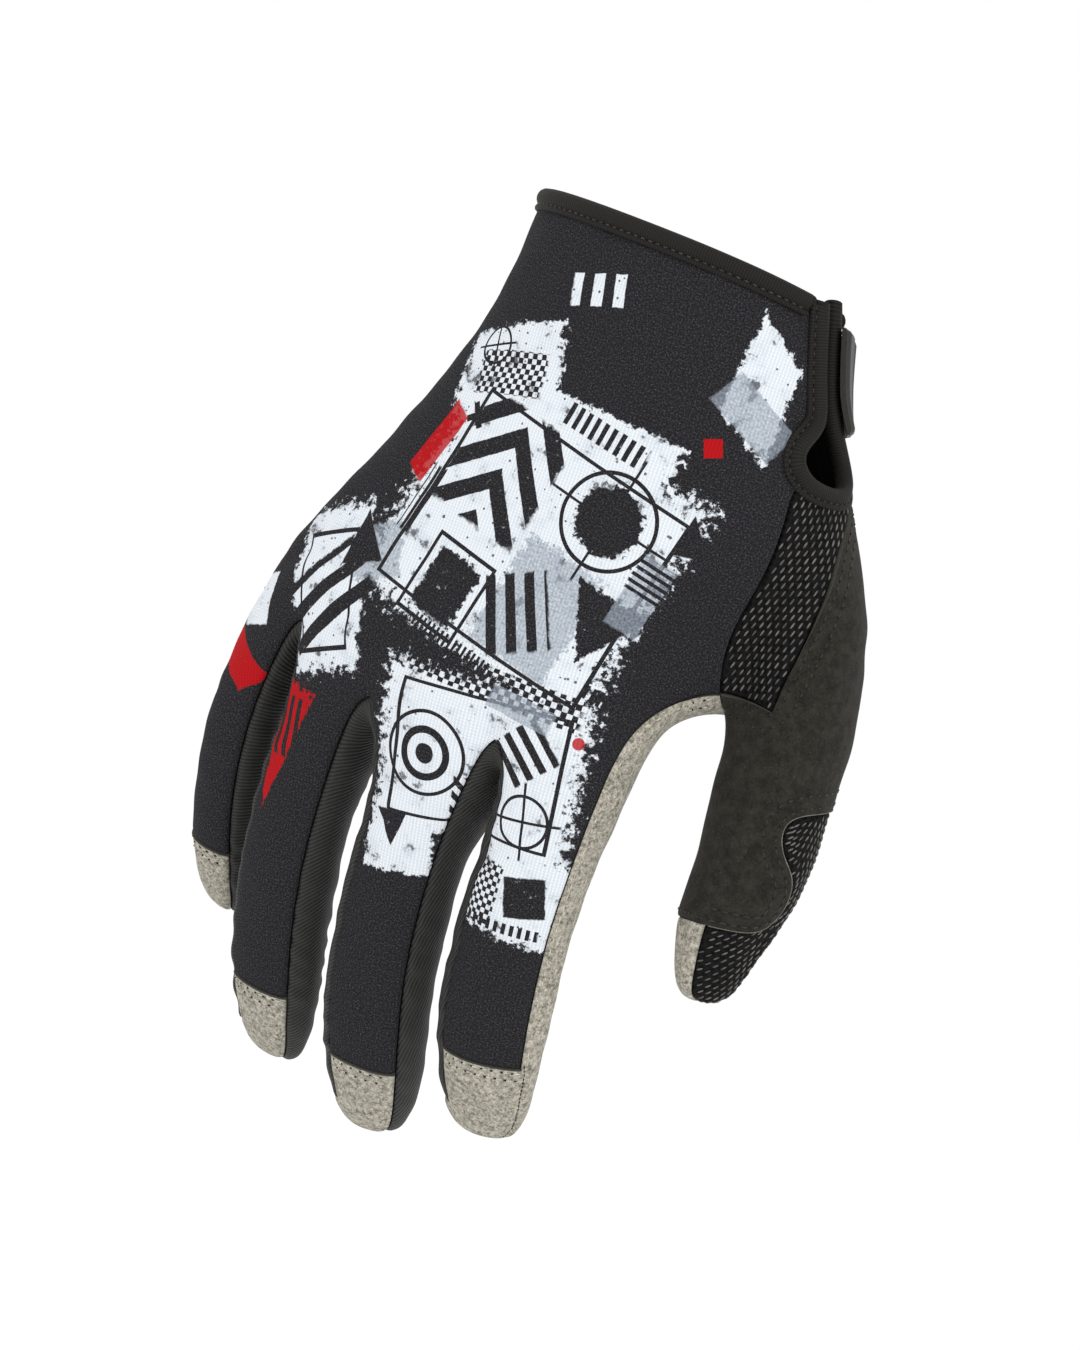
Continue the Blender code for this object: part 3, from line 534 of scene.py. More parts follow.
def flatFit(surface, panel):
    # turns and scales the flat cloth to mm, with its grain up the glove; returns a function
    quads = surface.own(panel)
    corners = surface.points[quads]
    flat = surface.loopPlaces[surface.panels == panel]
    edgeA = corners[:, 1] - corners[:, 0]
    edgeB = corners[:, 3] - corners[:, 0]
    flatA = flat[:, 1] - flat[:, 0]
    flatB = flat[:, 3] - flat[:, 0]
    normal = np.cross(edgeA, edgeB)
    area = np.linalg.norm(normal, axis=1)
    normal /= area[:, None]
    flatArea = flatA[:, 0] * flatB[:, 1] - flatA[:, 1] * flatB[:, 0]
    scale = math.sqrt(area.sum() / np.abs(flatArea).sum())
    mirrored = flatArea.sum() < 0
    up = np.array([0.0, 0.0, 1.0]) - normal * normal[:, 2:3]
    # up = s A + t B on each face, so its flat direction is s a + t b
    aa, ab, bb = (edgeA * edgeA).sum(1), (edgeA * edgeB).sum(1), (edgeB * edgeB).sum(1)
    ua, ub = (up * edgeA).sum(1), (up * edgeB).sum(1)
    bottom = aa * bb - ab * ab
    s = (ua * bb - ub * ab) / bottom
    t = (ub * aa - ua * ab) / bottom
    way = ((s[:, None] * flatA + t[:, None] * flatB) * area[:, None]).sum(0)
    if mirrored:
        way[0] = -way[0]
    turn = math.pi / 2 - math.atan2(way[1], way[0])
    cos, sin = math.cos(turn), math.sin(turn)
    top = surface.points[:, 2] - 0.3 * np.abs(surface.points[:, 0])
    used = np.unique(quads)
    start = used[np.argmax(top[used])]

    def fit(places):
        x = places[:, 0] * (-1 if mirrored else 1)
        y = places[:, 1]
        return np.stack([x * cos - y * sin, x * sin + y * cos], axis=1) * scale

    origin = fit(surface.places(panel))[start]
    return lambda places: fit(places) - origin


cage = buildCage()
cageMesh = bpy.data.meshes.new("gloveCage")
cageMesh.from_pydata([tuple(p * mm) for p in cage.points], [], cage.faces)
cageMesh.polygons.foreach_set("material_index", cage.panels)
for panelName in panelNames:
    cageMesh.materials.append(None)
cageHelper = placed("gloveCage", cageMesh)
cageHelper.data = subdivided(cageHelper, 2, False)
unwrapPanels(cageHelper)
fine = Surface(cageHelper, 2)
coarse = Surface(cageHelper, 1)
bpy.data.objects.remove(cageHelper)
flatFits = [flatFit(coarse, panel) for panel in range(len(panelNames))]
print("surface smoothed:", len(fine.points), "points")

cutSizes = {"rounds": 260, "reach": 5.5}


def seamChain(surface, panel, other):
    follow = dict(neighbours(surface)[(panel, other)])
    ends = set(follow.values())
    return chain(follow, next(a for a in follow if a not in ends))


def neighbours(surface):
    # for each panel, the border edges it shares with each other panel, or with nothing (-1)
    size = len(surface.points)
    starts = surface.quads.reshape(-1)
    ends = np.roll(surface.quads, -1, axis=1).reshape(-1)
    owners = np.repeat(surface.panels, 4)
    lookup = dict(zip((starts * size + ends).tolist(), owners.tolist()))
    found = {}
    for a, b, panel in zip(starts.tolist(), ends.tolist(), owners.tolist()):
        other = lookup.get(b * size + a, -1)
        if other != panel:
            found.setdefault((panel, other), []).append((a, b))
    return found


def roundCutEdge(sizes):
    # scissors leave no sharp corners: slides the suede's edge along the surface until it is smooth
    tree = faceTree(fine.points, fine.quads)
    link = pointTree(fine.points)
    twin = [link.find(point)[1] for point in coarse.points]
    path = seamChain(fine, thumbSuede, thumbMesh)
    line = fine.points[path]
    for _ in range(sizes["rounds"]):
        line[1:-1] += (line[:-2] + line[2:] - 2 * line[1:-1]) / 4
    slides = line - fine.points[path]
    near = pointTree(fine.points[path])
    lows, highs = line.min(0) - sizes["reach"], line.max(0) + sizes["reach"]
    close = np.flatnonzero(((fine.points > lows) & (fine.points < highs)).all(1))
    moved = {}
    for v in close.tolist():
        _, k, distance = near.find(fine.points[v])
        if distance < sizes["reach"]:
            share = (1 - (distance / sizes["reach"]) ** 2) ** 2
            moved[v] = tree.find_nearest(Vector(fine.points[v] + slides[k] * share))[0]
    for v, place in moved.items():
        fine.points[v] = place
    coarse.points[:] = fine.points[twin]


roundCutEdge(cutSizes)
print("cut edge rounded")


# Node helpers


def hexColour(text):
    # an sRGB hex colour as linear light
    parts = [int(text[k:k + 2], 16) / 255 for k in (1, 3, 5)]
    return tuple(p / 12.92 if p <= 0.04045 else ((p + 0.055) / 1.055) ** 2.4 for p in parts) + (1.0,)


def setInputs(tree, node, links):
    # links: a value, a node or a socket for each input, by order or by name
    for key, value in links.items() if isinstance(links, dict) else enumerate(links):
        if value is None:
            continue
        if isinstance(value, bpy.types.Node):
            value = value.outputs[0]
        if isinstance(value, bpy.types.NodeSocket):
            tree.links.new(value, node.inputs[key])
        else:
            node.inputs[key].default_value = value


def addNode(tree, kind, links=(), **settings):
    node = tree.nodes.new(kind)
    for name, value in settings.items():
        setattr(node, name, value)
    setInputs(tree, node, links)
    return node


def newMaterial(name, layer=None):
    # its pattern lies on this UV map, or else on Object coordinates
    material = bpy.data.materials.new(name)
    material.use_nodes = True
    tree = material.node_tree
    if layer:
        place = addNode(tree, "ShaderNodeUVMap", uv_map=layer)
    else:
        place = addNode(tree, "ShaderNodeTexCoord").outputs["Object"]
    return material, tree, tree.nodes["Principled BSDF"], place


# Relief of the cloth: seams that sink or stand proud, and folds

clothSizes = {
    "wall": 1.3,
    "seamGap": 0.3,
    "insideGap": 0.02,  # the seams are shut on the inside, so that no light comes through
    "suedeLift": 0.5,
    "suedeFade": 0.1,
    "seamWidth": 1.5,  # mm over which a turned seam rolls down
    "capLift": 0.25,  # how far a fingertip cap stands over the cloth beside it
    "capSink": 0.3,  # and how far the back's cloth goes down to it
    "capSlope": 0.55,  # a cap's edge runs across the finger, so that it climbs less than this
    "foldBow": 0.08,
    "foldSwell": (0.45, 1.9),  # share of the fold's depth, and half widths from its middle
    "rippleHeight": 0.22,
    "puckerPitch": 6.0,  # the seams of the fingers' side walls are gathered a little
    "puckerDepth": 0.4,
    "puckerReach": 5.0,
    "capSeam": (0.5, 0.7),  # depth and half width of the seam down the index's side of its cap
}

# panel, neighbour, sink in mm; a cap's seam takes its own
seamSinks = [
    (back, pinkyRing, 0.6), (back, ringMiddle, 0.6), (back, middleIndex, 0.6),
    (back, palm, 0.45),
    (pinkyRing, back, 0.7), (ringMiddle, back, 0.7), (middleIndex, back, 0.7),
    (pinkyRing, palm, 0.7), (ringMiddle, palm, 0.7), (middleIndex, palm, 0.7),
    (palm, pinkyRing, 0.5), (palm, ringMiddle, 0.5), (palm, middleIndex, 0.5),
    (palm, back, 0.35), (palm, thumbSuede, 0.2), (palm, thumbMesh, 0.5),
    (gusset, back, 0.6), (gusset, thumbSuede, 0.5), (gusset, palm, 0.5),
    (thumbMesh, thumbSuede, 0.4), (thumbMesh, palm, 0.5),
    (thumbSuede, palm, 0.3),
]

# Folds: start and end as (x, z), half width, depth, and the side it is on (-1 back, 1 palm)
folds = [
    (-33, -16, -12, -24, 3.2, 0.55, -1),
    (14, -10, 34, -22, 3.0, 0.45, -1),
    (-30, -40, -4, -33, 4.0, 0.5, -1),
    (22, -44, 36, -58, 3.0, 0.5, -1),
    (-66, -92, -52, -84, 2.6, 0.6, -1),
    (-46, -104, -34, -94, 2.6, 0.6, -1),
    (-26, -112, -14, -98, 2.6, 0.5, -1),
    (-2, -116, 8, -100, 2.8, 0.5, -1),
    (-78, -124, -66, -121, 1.8, 0.45, -1),
    (-58, -136, -44, -132, 2.0, 0.5, -1),
    (-29, -140, -14, -136, 2.0, 0.5, -1),
    (0, -138, 18, -133, 2.2, 0.5, -1),
    (-79, -140, -68, -139, 1.6, 0.4, -1),
    (-60, -160, -48, -157, 1.8, 0.4, -1),
    (-33, -164, -20, -161, 1.8, 0.4, -1),
    (-6, -160, 8, -156, 1.9, 0.4, -1),
    (-60, -80, 2, -96, 3.2, 0.9, 1),
    (-66, -92, -8, -106, 2.6, 0.7, 1),
    (-20, -22, 20, -60, 3.6, 0.8, 1),
    (-44, -60, 6, -70, 3.0, 0.6, 1),
    (-78, -128, -66, -126, 2.0, 0.7, 1),
    (-60, -140, -46, -137, 2.2, 0.7, 1),
    (-30, -144, -14, -141, 2.2, 0.7, 1),
    (0, -141, 16, -138, 2.2, 0.7, 1),
    (-62, -162, -50, -160, 2.0, 0.6, 1),
    (-34, -168, -20, -166, 2.0, 0.6, 1),
    (-6, -163, 8, -161, 2.0, 0.6, 1),
    (42, -88, 56, -80, 2.6, 0.5, -1),
    (40, -96, 60, -93, 2.4, 0.4, -1),
    (40, -76, 60, -66, 2.8, 0.6, 1),
]


def foldDepth(points, normals):
    # a soft groove along each fold, with a low swell on both its sides, and a faint ripple
    depth = np.zeros(len(points))
    share, apart = clothSizes["foldSwell"]
    for x0, z0, x1, z1, width, deep, side in folds:
        along = np.array([x1 - x0, z1 - z0], float)
        length = np.linalg.norm(along)
        along /= length
        off = points[:, [0, 2]] - np.array([x0, z0])
        t = (off @ along) / length
        bow = clothSizes["foldBow"] * length * np.sin(np.pi * np.clip(t, 0, 1))
        d = (off[:, 0] * -along[1] + off[:, 1] * along[0] - bow) / width
        ends = np.clip(np.sin(np.pi * np.clip(t, 0, 1)), 0, 1) ** 0.7
        facing = np.clip(normals[:, 1] * side * 2.0, 0, 1)
        swell = share * np.exp(-((np.abs(d) - apart) ** 2))
        depth += deep * ends * facing * (np.exp(-d * d) - swell)
    x, y, z = (points / 10).T
    ripple = np.sin(x * 1.7 + 1.3 * np.sin(z * 1.1 + y)) * np.sin(z * 1.9 + 0.8 * np.sin(x * 1.4))
    ripple += 0.5 * np.sin(x * 3.9 + z * 2.3 + 1.0) * np.sin(z * 3.1 - y * 2.7)
    return depth + clothSizes["rippleHeight"] * ripple


def isCapEdge(surface, a, b):
    along = surface.points[b] - surface.points[a]
    return abs(along[2]) < clothSizes["capSlope"] * np.linalg.norm(along)


def nearness(points, places):
    # distance in mm from each point to the nearest of these places
    tree = pointTree(places)
    return np.array([tree.find(point)[2] for point in points])


def proudness(panel, points):
    if panel != thumbSuede:
        return np.zeros(len(points))
    below = (-points[:, 2] / size["palmLength"] - size["tiltEnds"]) / clothSizes["suedeFade"]
    return clothSizes["suedeLift"] * np.clip(below, 0, 1)


fourchettes = {pinkyRing, ringMiddle, middleIndex}
fineTree = faceTree(fine.points, fine.quads)
# the seam between the index's cap and its side wall, on the smooth surface
capCorners = [np.array(cage.at(("index", station, "rightTop"))) for station in (3, 4, 5)]
capSeamLine = [
    np.array(fineTree.find_nearest(Vector(mix(a, b, t)))[0])
    for a, b in zip(capCorners, capCorners[1:]) for t in np.linspace(0, 1, 16, endpoint=False)
]


def outerPlaces(panel, used, ways):
    # where the panel's outside lies, with its seams and folds
    points = fine.points[used]
    normals = fine.normals[used]
    lift = proudness(panel, points) - foldDepth(points, normals)
    for own, other, sink in seamSinks:
        edges = fineBorders.get((own, other), [])
        if own != panel or not edges:
            continue
        caps = [a for a, b in edges if isCapEdge(fine, a, b)] if {own, other} == {back, palm} else []
        sides = [a for a, b in edges if a not in set(caps)]
        capDeep = clothSizes["capSink"] if own == back else -clothSizes["capLift"]
        for group, deep in ((sides, sink), (caps, capDeep)):
            if not group:
                continue
            near = nearness(points, fine.points[group])
            lift -= deep * np.clip(1 - near / clothSizes["seamWidth"], 0, 1) ** 2
            if fourchettes & {own, other} and group is sides:
                high = points[:, 2]
                run = 2 * math.pi * high / clothSizes["puckerPitch"]
                run = run + 2.2 * np.sin(high / 6.5 + points[:, 0] / 9)
                share = np.clip(1 - near / clothSizes["puckerReach"], 0, 1)
                share *= 1.0 if own in fourchettes else 0.3
                share *= 0.6 + 0.4 * np.sin(high / 11 + points[:, 0] / 5)
                lift += clothSizes["puckerDepth"] * share * np.sin(run)
    if panel == palm:
        deep, wide = clothSizes["capSeam"]
        near = nearness(points, capSeamLine) / wide
        lift -= deep * np.exp(-near * near)
    way = np.zeros_like(points)
    for k, v in enumerate(used.tolist()):
        if v in ways:
            way[k] = ways[v]
    return points + way * clothSizes["seamGap"] / 2 + normals * lift[:, None]


def buildPanel(panel, outside, inside, edge):
    quads = fine.own(panel)
    used = np.unique(quads)
    border = openEdges(quads)
    ways = inwardWays(fine, border)
    outer = outerPlaces(panel, used, ways)
    coarseQuads = coarse.own(panel)
    coarseUsed = np.unique(coarseQuads)
    coarseBorder = openEdges(coarseQuads)
    coarseWays = inwardWays(coarse, coarseBorder)
    way = np.array([coarseWays.get(v, np.zeros(3)) for v in coarseUsed.tolist()])
    deep = proudness(panel, coarse.points[coarseUsed]) - clothSizes["wall"]
    inner = coarse.points[coarseUsed] + way * clothSizes["insideGap"]
    inner = inner + coarse.normals[coarseUsed] * deep[:, None]
    number = {v: k for k, v in enumerate(used.tolist())}
    coarseNumber = {v: k + len(used) for k, v in enumerate(coarseUsed.tolist())}
    # each coarse border point lies on a fine one
    follow = dict(border)
    starts = list(follow)
    tree = pointTree(fine.points[starts])
    faces = np.searchsorted(used, quads).tolist()
    looks = [0] * len(faces)
    innerQuads = (np.searchsorted(coarseUsed, coarseQuads)[:, ::-1] + len(used)).tolist()
    faces += innerQuads
    looks += [1] * len(innerQuads)
    for a, b in coarseBorder:
        start = starts[tree.find(coarse.points[a])[1]]
        middle = follow[start]
        end = follow[middle]
        faces.append([number[end], number[middle], number[start], coarseNumber[a], coarseNumber[b]])
        looks.append(2)
    places = np.concatenate([
        flatFits[panel](fine.places(panel))[used],
        flatFits[panel](coarse.places(panel))[coarseUsed],
    ])
    made = meshObject(f"shell_{panelNames[panel]}", np.concatenate([outer, inner]), faces, places)
    for material in (outside, inside, edge):
        made.data.materials.append(material)
    made.data.polygons.foreach_set("material_index", looks)
    outsides[panel] = (used, outer)
    return made


def meshObject(name, points, faces, places=None, sharp=50):
    mesh = bpy.data.meshes.new(name)
    mesh.from_pydata((np.asarray(points) * mm).tolist(), [], faces)
    if places is not None:
        corners = np.empty(len(mesh.loops), int)
        mesh.loops.foreach_get("vertex_index", corners)
        layer = mesh.uv_layers.new(name="cloth")
        layer.data.foreach_set("uv", places[corners].astype(np.float32).ravel())
    mesh.shade_smooth()
    if sharp:
        mesh.set_sharp_from_angle(angle=math.radians(sharp))
    return placed(name, mesh)


def finishPiece(piece, slot, *nodes):
    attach(piece, "root")
    if nodes:
        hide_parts(*nodes)


fineBorders = neighbours(fine)
coarseBorders = neighbours(coarse)
outsides = {}


# Bindings, swept along the wrist's open edge

bindingSizes = {
    "step": 0.9,  # mm between two sections
    "groove": 4,  # the outline's point where the stitches lie
    "rise": 1.45,  # how far the roll stands beyond the cloth's edge
    "corner": 3.9,  # where the cuff's binding starts, off the slit
    # how each end of the slit's binding is cut to the cuff's line: mm added, and slope
    "backEnd": (0.0, 0.42),
    "palmEnd": (1.2, -0.42),
    "cutReach": 5.0,
}

# out of the cloth, into the cloth, in mm: roll, stitched groove, lip, and back up inside
bindingOutline = [
    (0.15, 3.5), (0.75, 3.35), (0.95, 2.9), (0.85, 2.45), (0.55, 2.15), (0.85, 1.85), (1.25, 1.3),
    (1.45, 0.6), (1.42, -0.1), (1.15, -0.8), (0.6, -1.3), (-0.1, -1.5), (-0.75, -1.5), (-1.45, -1.25),
    (-2.1, -0.75), (-2.5, 0.0), (-2.6, 0.8), (-2.45, 1.5), (-2.0, 2.1), (-2.3, 2.6), (-2.1, 3.2),
    (-1.45, 3.4),
]


def wristEdges(surface, cage):
    border = openEdges(surface.quads)
    ways = inwardWays(surface, border)
    follow = dict(border)

    def nearest(place):
        return min(follow, key=lambda v: np.linalg.norm(surface.points[v] - place))

    start = nearest(cage.at((0, "d4")))
    turn = nearest(cage.at((0, "r1")))
    loop = chain(follow, start)
    at = loop.index(turn)
    legs = [loop[:at + 1], loop[at:] + [start]]
    slit, cuff = sorted(legs, key=lambda leg: min(surface.points[v][2] for v in leg))
    return slit, cuff, ways


def sweepBinding(name, surface, tree, path, ways, ends, outline, material, cuts=()):
    places = surface.points[path]
    outs = surface.normals[path]
    inward = np.array([ways[v] / max(1.0, np.linalg.norm(ways[v])) for v in path])
    for k, near in ((0, 1), (-1, -2)):
        along = places[near] - places[k]
        way = np.cross(outs[k], along)
        way *= 1 if way.dot(inward[near]) > 0 else -1
        inward[k] = way / np.linalg.norm(way)
    lengths = runLengths(places)
    stops = np.arange(ends[0], lengths[-1] - ends[1], bindingSizes["step"])
    read = lambda rows: np.stack([np.interp(stops, lengths, rows[:, k]) for k in range(3)], axis=1)
    beyond = np.clip(stops, None, 0)[:, None] + np.clip(stops - lengths[-1], 0, None)[:, None]
    first = (places[1] - places[0]) / np.linalg.norm(places[1] - places[0])
    last = (places[-1] - places[-2]) / np.linalg.norm(places[-1] - places[-2])
    centres = read(places) + np.where(stops[:, None] < 0, beyond * first, beyond * last)
    outRows, inRows = read(outs), read(inward)
    corners, flat, groove = [], [], []
    around = runLengths(outline)
    for stop, centre, out, way in zip(stops, centres, outRows, inRows):
        gone = (stop - stops[0], stops[-1] - stop)
        for (u, v), run in zip(outline, around):
            foot, footOut = centre + way * v, out
            if v > 0:
                hit = tree.find_nearest(Vector(foot))
                foot, footOut = np.array(hit[0]), np.array(hit[1])
            place = foot + footOut * u
            for (added, slope), outwardWay, off in zip(cuts, (-first, last), gone):
                share = smoothStep(1 - off / bindingSizes["cutReach"])
                place = place + outwardWay * share * (added + slope * v)
            corners.append(place)
            flat.append((run, stop))
            if (u, v) == outline[bindingSizes["groove"]]:
                groove.append((corners[-1], footOut, (0, 0, 1)))
    wide = len(outline)
    faces = []
    for base in range(0, (len(stops) - 1) * wide, wide):
        for j in range(wide):
            after = (j + 1) % wide
            faces.append([base + j, base + wide + j, base + wide + after, base + after])
    faces.append(list(range(wide)))
    faces.append([(len(stops) - 1) * wide + j for j in range(wide - 1, -1, -1)])
    made = meshObject(name, corners, faces, np.array(flat), sharp=60)
    fixNormals(made)
    made.data.materials.append(material)
    return made, groove


def smoothStep(t):
    t = np.clip(t, 0, 1)
    return float(t * t * (3 - 2 * t))


def fixNormals(made):
    shape = bmesh.new()
    shape.from_mesh(made.data)
    bmesh.ops.recalc_face_normals(shape, faces=shape.faces)
    shape.to_mesh(made.data)
    shape.free()


# Strap and its pad, laid on the wrist behind the slit

strapSizes = {
    "length": 62.0,
    "width": 21.0,
    "thickness": 2.0,
    "top": 5.5,
    "reach": 4.6,
    "skewShare": 0.3,
    "edgeClear": 4.0,
    "ribHeight": 0.7,
    "ribs": 5,
    "ribsStart": 0.06,
    "ribsSpan": 0.62,
    "ribShare": 0.66,  # of the ribs' pitch
    "ribFlank": 0.14,
    "ribEnd": 0.86,  # share of the strap's half width
    "roundFrom": 0.9,
    "patchThickness": 1.2,
    "patchLength": 24.0,
    "patchMargin": 2.0,
}


def slitAngle(cage, level):
    rows = [cage.at((row, "r1")) for row in range(slitSections)]
    angles = [math.degrees(math.atan2(p[0], -p[1])) for p in rows]
    return float(np.interp(-level, [-p[2] for p in rows], angles))


def onWrist(tree, angle, level):
    way = Vector((math.sin(math.radians(angle)), -math.cos(math.radians(angle)), 0))
    place, normal, _, _ = tree.ray_cast(Vector((0, 0, level)), way)
    return np.array(place), np.array(normal)


def slab(name, columns, under, over, material):
    tall = len(columns[0])
    low, high = [], []
    for k, column in enumerate(columns):
        for j, (place, normal) in enumerate(column):
            low.append(place + normal * under(k, j))
            high.append(place + normal * over(k, j))
    count = len(low)
    faces = []
    for k in range(len(columns) - 1):
        for j in range(tall - 1):
            quad = [k * tall + j, (k + 1) * tall + j, (k + 1) * tall + j + 1, k * tall + j + 1]
            faces.append([v + count for v in quad])
            faces.append(quad[::-1])
    wide = len(columns)
    rim = [k * tall for k in range(wide)] + [(wide - 1) * tall + j for j in range(1, tall)]
    rim += [k * tall + tall - 1 for k in range(wide - 2, -1, -1)] + list(range(tall - 2, 0, -1))
    for a, b in zip(rim, rim[1:] + rim[:1]):
        faces.append([a, b, b + count, a + count])
    places = np.array([(k, j) for k in range(wide) for j in range(tall)] * 2, float)
    made = meshObject(name, low + high, faces, places, sharp=0)
    fixNormals(made)
    made.data.materials.append(material)
    return made


def buildStrap(tree, cage, sizes, strapMaterial, padMaterial):
    turn = math.degrees(sizes["length"] / ((size["cuffWidth"] + size["cuffDepth"]) / 4))
    top = -sizes["top"]
    start = slitAngle(cage, top) + sizes["edgeClear"]
    middle = top - sizes["width"] / 2
    shares = np.linspace(0, 1, 125)
    rows = [1, 0.985, 0.95, 0.9] + list(np.linspace(0.8, -0.8, 13)) + [-0.9, -0.95, -0.985, -1]
    columns = []
    for share in shares:
        past = max(0.0, share - sizes["roundFrom"]) / (1.3 - 1.3 * sizes["roundFrom"])
        narrow = math.sqrt(1 - past**2)
        fade = max(0.0, 1 - share / sizes["skewShare"])
        column = []
        for side in rows:
            level = middle + sizes["width"] / 2 * narrow * side
            skew = (slitAngle(cage, level) - slitAngle(cage, top)) * fade
            column.append(onWrist(tree, start + turn * share + skew, level))
        columns.append(column)
    lead = []
    for reach in np.linspace(sizes["reach"], 0.5, 9):
        column = []
        for (near, normal), (far, _) in zip(columns[0], columns[4]):
            backward = (near - far) / np.linalg.norm(near - far)
            column.append((near + backward * reach, normal))
        lead.append(column)
    columns = lead + columns
    allShares = [-0.01] * 9 + list(shares)
    pitch = sizes["ribsSpan"] / sizes["ribs"]
    count = len(columns)

    def under(k, j):
        share = allShares[k]
        return mix(1.75, 0.6 + sizes["patchThickness"], float(np.clip(share / 0.5, 0, 1)))

    def over(k, j):
        share = allShares[k]
        across = abs(rows[j])
        edge = 1.0 - 0.55 * smoothStep((across - 0.9) / 0.1) ** 2
        edge *= 1.0 - 0.4 * smoothStep((k - count + 4) / 4) - 0.4 * smoothStep((3 - k) / 3)
        ribAt = (share - sizes["ribsStart"]) / pitch
        rib = 0.0
        if 0 <= ribAt < sizes["ribs"] and across < sizes["ribEnd"]:
            rib = smoothStep((ribAt % 1) / sizes["ribFlank"])
            rib *= smoothStep((sizes["ribShare"] - ribAt % 1) / sizes["ribFlank"])
            rib *= smoothStep((sizes["ribEnd"] - across) / 0.06)
        return under(k, j) + sizes["thickness"] * edge + sizes["ribHeight"] * rib

    strap = slab("wrist_strap", columns, under, over, strapMaterial)
    strap.data.set_sharp_from_angle(angle=math.radians(62))
    tall = sizes["width"] - 2 * sizes["patchMargin"]
    span = turn * sizes["patchLength"] / sizes["length"]
    end = start + turn - turn * sizes["patchMargin"] / sizes["length"]
    levels = middle + tall / 2 * np.linspace(1, -1, 40)
    angles = np.linspace(end - span, end, 44)
    pad = [[onWrist(tree, angle, level) for level in levels] for angle in angles]
    nap = np.random.default_rng(7).uniform(-0.12, 0.0, (44, 40))
    patch = slab("strap_pad", pad, lambda k, j: 0.3, lambda k, j: 1.5 + nap[k][j], padMaterial)
    return strap, patch


# Stitches and mesh yarn, laid by Geometry Nodes

stitchSizes = {
    # name: pitch, length, thread width, all in mm
    "suede": (2.3, 1.75, 0.42),
    "cap": (2.2, 1.5, 0.4),
    "binding": (1.9, 1.2, 0.42),
    "edge": (2.6, 1.5, 0.3),
    "capSeam": (1.1, 1.0, 0.3),
    "rim": (0.8, 1.2, 0.24),  # fibres along a cut edge, set so close that they join
}
holeShadeSizes = (0.75, 0.5, -0.1)  # length, width and lift of the near black marks painted as shade in the needle holes
stitchLift = {"panel": 0.05, "binding": 0.12, "capSeam": -0.05, "yarn": 0.12}


def grainTree(name, alongCurve):
    # lays small threads along the edges of a mesh, or one on each of its points
    tree = bpy.data.node_groups.new(name, "GeometryNodeTree")
    tree.interface.new_socket("Geometry", in_out="INPUT", socket_type="NodeSocketGeometry")
    for label in ("Pitch", "Length", "Width", "Lift"):
        tree.interface.new_socket(label, in_out="INPUT", socket_type="NodeSocketFloat")
    tree.interface.new_socket("Thread", in_out="INPUT", socket_type="NodeSocketMaterial")
    tree.interface.new_socket("Geometry", in_out="OUTPUT", socket_type="NodeSocketGeometry")
    given = addNode(tree, "NodeGroupInput").outputs
    outward = addNode(tree, "GeometryNodeInputNamedAttribute", {"Name": "outward"},
        data_type="FLOAT_VECTOR")
    if alongCurve:
        curve = addNode(tree, "GeometryNodeMeshToCurve", {"Mesh": given["Geometry"]})
        ground = addNode(tree, "GeometryNodeResampleCurve", {"Curve": curve, "Length": given["Pitch"]},
            mode="LENGTH")
        along = addNode(tree, "GeometryNodeInputTangent")
    else:
        ground = addNode(tree, "GeometryNodeMeshToPoints", {"Mesh": given["Geometry"]})
        along = addNode(tree, "GeometryNodeInputNamedAttribute", {"Name": "along"},
            data_type="FLOAT_VECTOR")
    upright = addNode(tree, "FunctionNodeAlignRotationToVector", {"Vector": outward}, axis="Z")
    turned = addNode(tree, "FunctionNodeAlignRotationToVector", {"Rotation": upright, "Vector": along},
        axis="X", pivot_axis="Z")
    thread = addNode(tree, "GeometryNodeMeshUVSphere", {"Segments": 8, "Rings": 5, "Radius": 0.5})
    scale = addNode(tree, "ShaderNodeCombineXYZ",
        {"X": given["Length"], "Y": given["Width"], "Z": given["Width"]})
    laid = addNode(tree, "GeometryNodeInstanceOnPoints",
        {"Points": ground, "Instance": thread, "Rotation": turned, "Scale": scale})
    lift = addNode(tree, "ShaderNodeCombineXYZ", {"Z": given["Lift"]})
    raised = addNode(tree, "GeometryNodeTranslateInstances", {"Instances": laid, "Translation": lift})
    real = addNode(tree, "GeometryNodeRealizeInstances", {"Geometry": raised})
    painted = addNode(tree, "GeometryNodeSetMaterial", {"Geometry": real, "Material": given["Thread"]})
    smooth = addNode(tree, "GeometryNodeSetShadeSmooth", {"Geometry": painted})
    addNode(tree, "NodeGroupOutput", [smooth])
    return tree


